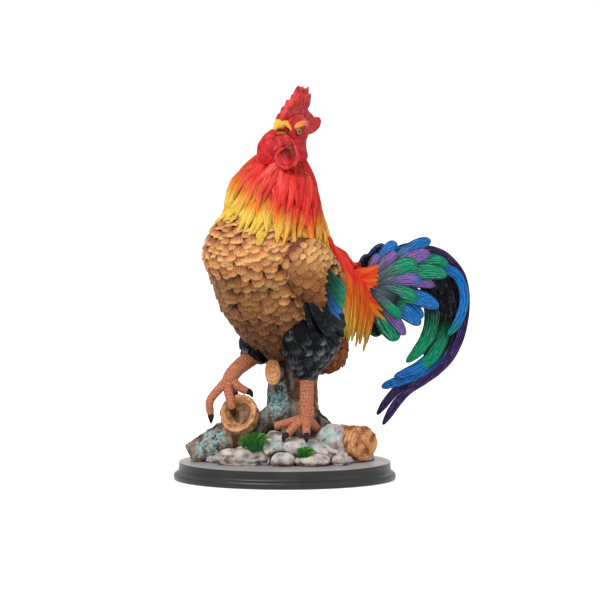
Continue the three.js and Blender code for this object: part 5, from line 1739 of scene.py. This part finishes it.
PLINTH_LENGTH = 223
PLINTH_DEPTH = 174
LIP_REACH = 4
LIP_HEIGHT = 7.2
PLINTH_FOOT = 0.5
# The plinth's edge, row by row: how far past the top oval it reaches, and how high it is.
LIP_PROFILE = [
    (-1.4, PLINTH_FOOT), (-0.5, PLINTH_FOOT + 0.3), (-0.15, PLINTH_FOOT + 0.25 * LIP_HEIGHT),
    (0, PLINTH_FOOT + 0.5 * LIP_HEIGHT), (-0.25, PLINTH_FOOT + 0.68 * LIP_HEIGHT),
    (-0.9, PLINTH_FOOT + 0.84 * LIP_HEIGHT), (-0.6 * LIP_REACH, PLINTH_FOOT + LIP_HEIGHT),
    (-LIP_REACH, PLINTH_FOOT + 1.1 * LIP_HEIGHT), (-LIP_REACH - 0.7, PLINTH_FOOT + 1.25 * LIP_HEIGHT),
    (-LIP_REACH - 1.2, PLINTH_TOP - 6), (-LIP_REACH - 1.5, PLINTH_TOP - 2.5),
    (-LIP_REACH - 1.45, PLINTH_TOP - 1.4), (-LIP_REACH - 1.7, PLINTH_TOP - 0.5),
    (-LIP_REACH - 2.2, PLINTH_TOP - 0.12), (-LIP_REACH - 3, PLINTH_TOP), (-30, PLINTH_TOP),
]


# How the names of the steel solids start.
HARDWARE = ("pin_", "rod_", "plinth_screw", "centre_rod")


class ROOSTER_OT_plinth(bpy.types.Operator):
    """Turn the oval plinth, and finish the felt and the steel"""

    bl_idname = "rooster.plinth"
    bl_label = "Plinth"

    def execute(self, context):
        bm = start_mesh()
        reach, height = LIP_PROFILE[0]
        ring = bmesh.ops.create_circle(bm, segments=192, radius=1)["verts"]
        axes = [PLINTH_LENGTH / 2 + reach, PLINTH_DEPTH / 2 + reach]
        bmesh.ops.scale(bm, vec=(*axes, 1), verts=ring)
        bmesh.ops.translate(bm, vec=(0, 0, height), verts=ring)
        edges = bm.edges[:]
        for reach, up in LIP_PROFILE[1:]:
            grown = bmesh.ops.extrude_edge_only(bm, edges=edges)["geom"]
            ring = [part for part in grown if isinstance(part, bmesh.types.BMVert)]
            grown = [part for part in grown if isinstance(part, bmesh.types.BMEdge)]
            edges = [edge for edge in grown if set(edge.verts) <= set(ring)]
            wanted = [PLINTH_LENGTH / 2 + reach, PLINTH_DEPTH / 2 + reach]
            bmesh.ops.scale(bm, vec=(wanted[0] / axes[0], wanted[1] / axes[1], 1), verts=ring)
            bmesh.ops.translate(bm, vec=(0, 0, up - height), verts=ring)
            axes, height = wanted, up
        bmesh.ops.holes_fill(bm, edges=bm.edges, sides=0)
        bmesh.ops.recalc_face_normals(bm, faces=bm.faces)
        piece("plinth_turned", bm, self.satin(), "black_gloss", "plinth", crease=35)
        self.finish_solids()
        return {"FINISHED"}

    def satin(self):
        """Black satin paint with faint dust and rubbed patches, and a painted reflection of pale grey on its
        top face.
        """
        sheen = {"Specular IOR Level": 0.42, "Sheen Weight": 0.1, "Sheen Roughness": 0.3}
        finish = Finish("plinth_paint", sheen)
        dust = finish.grain(24, 6)
        fine = finish.grain(1.4, 3)
        dusty = dust.between(0.45, 0.75) * 0.5 + fine * 0.2
        base = finish.mix(dusty, tone("plinth_black"), PLINTH_DUST)
        # Painted reflection: the top face is made pale grey, stronger where the dust noise is high.
        top = finish.parts(finish.place())[2].between((PLINTH_TOP - 1) * MM, (PLINTH_TOP - 0.2) * MM)
        base = finish.mix(top * (dust * 0.5 + 0.5), base, PLINTH_PAINTED_REFLECTION)
        return finish.paint(base, dust * 0.14 + fine * 0.08 + 0.26, fine + dust, 0.03)

    def finish_solids(self):
        """Felt and steel for the solids that stay as they are."""
        felt = Finish("felt_cloth", {"Sheen Weight": 0.4, "Sheen Roughness": 0.6})
        fibres = felt.grain(0.7, 5)
        nap = felt.mix(fibres.between(0.35, 0.7), tone("felt_green"), FELT_NAP)
        felt.paint(nap, fibres * 0.1 + 0.88, fibres, 0.25)
        steel = Finish("zinc_steel")
        brushed = steel.grain(0.9, 3, steel.stretched(1, 1, 0.05))
        worn = steel.mix(brushed.between(0.35, 0.7), tone("steel"), STEEL_WORN)
        steel.paint(worn, brushed * 0.3 + 0.25, brushed, 0.04, metallic=0.9)
        for name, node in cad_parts.items():
            hidden = name.startswith(HARDWARE)
            if hidden or name == "felt_pad":
                node.material_slots[0].material = steel.material if hidden else felt.material


def ground_finish(name, pitch, speckle=1.0):
    """Stone or bark: the dye with washed hollows, and lichen where the dye's alpha asks for it."""
    finish = Finish(name, {"Specular IOR Level": 0.12})
    dye = finish.attribute("dye", 0)
    amount = finish.attribute("dye", 3)
    rough = finish.grain(pitch, 6)
    fine = finish.grain(0.8, 3)
    pits = finish.cells(0.45 * pitch)
    base = finish.mix(rough.between(0.3, 0.62), finish.times(dye, STONE_WASH), dye)
    pale = finish.mix(0.55, dye, STONE_PALE)
    base = finish.mix(fine.between(0.52, 0.75) * 0.45 * speckle, base, pale)
    crust = (finish.grain(3.4, 6) + amount * 0.2 - 0.13).between(0.5, 0.6) * amount.between(0.02, 0.3)
    blue = finish.mix(finish.grain(9, 2).between(0.35, 0.65), tone("lichen"), LICHEN_DEEP)
    blue = finish.mix(fine.between(0.45, 0.65) * 0.6, blue, LICHEN_PALE)
    base = finish.mix(crust * 0.75, base, blue)
    return finish.paint(base, fine * 0.15 + 0.75, rough + fine * 0.4 + pits * 0.3 + crust * 0.3, 0.55)


def craggy(at, pitch, height):
    """Rock that is broken at two scales."""
    return height * (noise.noise(at / pitch) + 0.6 * abs(noise.noise(at * (2.7 / pitch))) - 0.2)


# Where lichen grows: [centre in the figure's axes, how far it spreads].
LICHEN = [
    ((-74, -16, 40), 24), ((-84, -20, 30), 16), ((-9, 0, 78), 22), ((-5, -4, 92), 12), ((34, 2, 92), 14),
    ((32, -30, 42), 16), ((22, -38, 36), 9), ((-8, -34, 40), 12), ((44, -18, 50), 18), ((-30, -8, 88), 6),
    ((60, 10, 44), 16), ((0, 60, 40), 30), ((-40, 40, 36), 22), ((10, 44, 80), 26),
]
# How much of the lichen a stone gets.
LICHENED = {
    "stone_long": 0.0, "stone_middle": 0.0, "stone_small": 0.1, "stone_lichened": 0.55, "rock_lichened": 1.0,
}
# What stands on the plinth is rough only above this height.
ROUGH_ABOVE = PLINTH_TOP + 0.6


def lichen_at(at):
    """How much lichen grows at a place, from 0 to 1."""
    return max(step(reach, 0.35 * reach, (at - Vector(centre)).length) for centre, reach in LICHEN)


class ROOSTER_OT_rocks(bpy.types.Operator):
    """Shape the rockwork and the stones"""

    bl_idname = "rooster.rocks"
    bl_label = "Rocks and stones"

    def execute(self, context):
        rock = ground_finish("rock_paint", 7)
        stone = ground_finish("stone_paint", 9, 0.7)
        self.shape("rockwork", rock, "rock", 1.5, 3.2, 1.0)
        for name, amount in LICHENED.items():
            self.shape(name, rock if amount > 0.5 else stone, "stone", 1.1, 1.9, amount)
        return {"FINISHED"}

    def shape(self, name, material, slot, voxel, height, amount):
        bm = remeshed([name], voxel, 2)
        push_out(bm, lambda at, normal: craggy(at, 15, height) if at.z > ROUGH_ABOVE else 0)

        def shade(at, normal):
            # Painted shade: darker where the stone faces down, broken up by noise.
            facing = normal.z + 0.6 + 0.5 * noise.noise(at / 6)
            grey = blended(tone("stone_underside_shade"), tone("stone_grey"), step(0.0, 0.8, facing))
            tint = blended(grey, tone("bark_brown"), 0.35 * step(0, 0.6, noise.noise(at / 11)))
            return (*tint[:3], amount * lichen_at(at))

        dye_skin(bm, shade)
        piece(name + "_carved", bm, material, slot, name)


# Places on the wood, in the ground's axes: the face of the broken branch and its middle, the centre of the
# hollow and the way that it opens, and the centre of the sawn end.
STUMP_FACE = [(-12, -13, 78), (-12, -13, 104)]
STUMP_MIDDLE = (-12, -13, 91)
HOLLOW_CENTRE = (-47, -14, 50)
HOLLOW_AXIS = (Vector((-48, -17, 51.5)) - Vector((-42, -4, 45))).normalized()
CUT_END = (82, -16, 19)


def wood_finish(name, centre, pitch):
    """Carved wood with growth rings round a centre, and streaks of grain."""
    finish = Finish(name, {"Specular IOR Level": 0.12})
    dye = finish.attribute("dye", 0)
    ends = {0: finish.place(), 1: Vector(centre) * MM}
    away = finish.node("VectorMath", {"operation": "DISTANCE"}, ends, 1)
    rough = finish.grain(5, 5)
    rings = (away * (1 / (pitch * MM)) + rough * 1.4).wave()
    fine = finish.grain(0.9, 3)
    raised = rings.between(0.0, 0.7) * 0.6 + rough.between(0.3, 0.6) * 0.4
    base = finish.mix(raised, finish.times(dye, WOOD_WASH), dye)
    base = finish.mix(fine.between(0.5, 0.75) * 0.4, base, finish.mix(0.5, dye, WOOD_PALE))
    return finish.paint(base, fine * 0.15 + 0.7, rings * 0.4 + rough * 1.4 + fine * 0.5, 0.8)


class ROOSTER_OT_logs(bpy.types.Operator):
    """Shape the stump, the hollow log and the cut log"""

    bl_idname = "rooster.logs"
    bl_label = "Stump and logs"

    def execute(self, context):
        bark = ground_finish("bark_paint", 6)
        self.shape("tree_stump", bark, "bark", 1.3, self.stump_shade)
        self.shape("hollow_log", bark, "bark", 1.1, self.hollow_shade)
        sawn = wood_finish("sawn_paint", GROUND @ Vector(CUT_END), 2.6)
        self.shape("cut_log", sawn, "cut_wood", 1.1, self.cut_shade)
        self.shape_stub()
        return {"FINISHED"}

    def shape(self, name, material, slot, voxel, shade):
        bm = remeshed([name], voxel, 2)
        dye_skin(bm, shade)
        push_out(bm, self.bark_rise)
        piece(name + "_carved", bm, material, slot, name)

    def furrow(self, at):
        """Noise that runs up the trunk, above 0 on its ridges."""
        return noise.noise(Vector((at.x / 4.5, at.y / 4.5, at.z / 26)))

    def bark_rise(self, at, normal):
        return 0 if at.z < ROUGH_ABOVE else 1.7 * self.furrow(at) + 0.8 * noise.noise(at / 3)

    def bark_shade(self, at, brown):
        furrow = self.furrow(at)
        grey = blended(tone("bark_brown"), tone("bark_grey"), step(-0.35, 0.25, furrow))
        return blended(grey, blended(tone("wood_deep"), tone("wood_tan"), step(-0.3, 0.5, furrow)), brown)

    def stump_shade(self, at, normal):
        brown = 0.75 * step(6, 16, at.x) * step(60, 80, at.z)
        return (*self.bark_shade(at, brown)[:3], lichen_at(at) * (1 - 0.5 * brown))

    def hollow_shade(self, at, normal):
        """Tan inside the hollow and on its rim, and bark outside."""
        offset = GROUND.inverted() @ at - Vector(HOLLOW_CENTRE)
        radial = (offset - HOLLOW_AXIS * offset.dot(HOLLOW_AXIS)).length
        front = step(-18, -4, offset.dot(HOLLOW_AXIS))
        inside = step(23, 18.5, radial + 1.5 * noise.noise(at / 5)) * front
        rings = 0.5 + 0.5 * math.sin(radial * 1.5)
        tan = blended(tone("wood_deep"), tone("wood_tan"), 0.45 + 0.55 * rings * step(3, 9, radial))
        shade = blended(self.bark_shade(at, 0.15), tan, inside)
        return (*shade[:3], lichen_at(at) * (1 - inside))

    def cut_shade(self, at, normal):
        return blended(tone("wood_deep"), tone("wood_tan"), step(-0.5, 0.2, noise.noise(at / 7)))

    def shape_stub(self):
        """The broken face of the stump's branch, with fibres along it."""
        plumage = Plumage()
        out = turned(FIGURE, (-0.35, -0.9, 0.12))
        line = strand(GROUND, STUMP_FACE, out)
        spindle(plumage, line, 8.4, 3, self.stub_dye, self.stub_width, 26, 40, relief=self.fibres)
        material = wood_finish("broken_paint", GROUND @ Vector(STUMP_MIDDLE), 3.2)
        piece("stump_broken_face", plumage.settle(), material, "cut_wood")

    def stub_dye(self, share, point):
        return blended(tone("wood_tan"), tone("wood_deep"), 0.5 * step(0.3, 0.8, share))

    def stub_width(self, share):
        return math.sin(math.pi * share) ** 0.5

    def fibres(self, across, along, share):
        return 0.8 * math.sin(9 * across + 2 * math.sin(5 * share))


# A tuft is [the place of its root, reach, how many blades], in the ground's axes.
TUFTS = {"grass_large": ((-32.5, -34, 24), 11, 130), "grass_small": ((18.5, -42, 15), 6.5, 60)}


class ROOSTER_OT_grass(bpy.types.Operator):
    """Shape the tufts of grass"""

    bl_idname = "rooster.grass"
    bl_label = "Grass"

    def execute(self, context):
        finish = Finish("grass_paint", {"Specular IOR Level": 0.2})
        dye = finish.attribute("dye", 0)
        fine = finish.grain(1.2, 3)
        base = finish.mix(fine.between(0.4, 0.7) * 0.5, dye, finish.times(dye, GRASS_WASH))
        material = finish.paint(base, fine * 0.2 + 0.5, fine, 0.2)
        rng = random.Random(97)
        for name, (root, reach, blades) in TUFTS.items():
            plumage = Plumage(remeshed([name], 0.9, 3), plain(tone("grass_deep")))
            for _ in range(blades):
                self.lay_blade(plumage, rng, Vector(root), reach)
            piece(name + "_blades", plumage.settle(), material, "grass", name)
        return {"FINISHED"}

    def lay_blade(self, plumage, rng, root, reach):
        lean = rng.uniform(-1, 1)
        ahead = rng.uniform(-0.75, 0.25)
        rise = reach * (0.45 + 0.75 * math.sqrt(max(0, 1 - lean * lean))) * rng.uniform(0.75, 1.05)
        start = root + Vector((0.85 * lean * reach, 0.6 * ahead * reach, -3 + rng.uniform(-4, 0)))
        bend = start + Vector((0.2 * lean * reach + 1, 0.15 * ahead * reach - 1, 0.6 * rise + 2))
        droop = rng.uniform(0, 6)
        tip = start + Vector((0.4 * lean * reach + droop, 0.5 * ahead * reach - 3, 0.9 * rise + 1))
        out = Vector((0.3 * lean, -1, 0.4)).normalized()
        deep = tone("grass_deep")
        green = jittered(rng, blended(deep, tone("grass_green"), 0.3 + 0.7 * rng.random()), 0.3)
        dye = graded([(0, deep), (0.45, blended(deep, green, 0.4)), (1, green)])
        spindle(plumage, strand(GROUND, (start, bend, tip), out), 1.2, 0.8, dye, tapered, 6, 7)


PIECE_OPERATORS = [
    "plinth", "rocks", "logs", "grass", "torso", "thighs", "wings", "neck", "saddle", "tail", "sickles",
    "head", "beak", "legs",
]


class ROOSTER_PT_panel(bpy.types.Panel):
    """The buttons and the paint of the figurine"""

    bl_idname = "ROOSTER_PT_panel"
    bl_label = "Rooster"
    bl_space_type = "VIEW_3D"
    bl_region_type = "UI"
    bl_category = "Rooster"

    def draw(self, context):
        for name in ["stage", *PIECE_OPERATORS]:
            self.layout.operator("rooster." + name)
        for group in (context.scene.rooster_sizes, context.scene.rooster_paint):
            for name in group.__annotations__:
                self.layout.prop(group, name)


CLASSES = [
    RoosterPaint, RoosterSizes, ROOSTER_OT_stage, ROOSTER_OT_torso, ROOSTER_OT_thighs, ROOSTER_OT_wings,
    ROOSTER_OT_neck, ROOSTER_OT_saddle, ROOSTER_OT_tail, ROOSTER_OT_sickles, ROOSTER_OT_head, ROOSTER_OT_beak,
    ROOSTER_OT_legs, ROOSTER_OT_plinth, ROOSTER_OT_rocks, ROOSTER_OT_logs, ROOSTER_OT_grass, ROOSTER_PT_panel,
]


def register():
    for cls in CLASSES:
        bpy.utils.register_class(cls)
    bpy.types.Scene.rooster_paint = bpy.props.PointerProperty(type=RoosterPaint)
    bpy.types.Scene.rooster_sizes = bpy.props.PointerProperty(type=RoosterSizes)


def unregister():
    del bpy.types.Scene.rooster_sizes
    del bpy.types.Scene.rooster_paint
    for cls in reversed(CLASSES):
        bpy.utils.unregister_class(cls)


def main():
    register()
    for name in ["stage", *PIECE_OPERATORS]:
        getattr(bpy.ops.rooster, name)()
    boxes = {"cad": CAD_BOX, "visual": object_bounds()}
    {name: [list(corner) for corner in box] for name, box in boxes.items()}


if __name__ == "__main__":
    main()
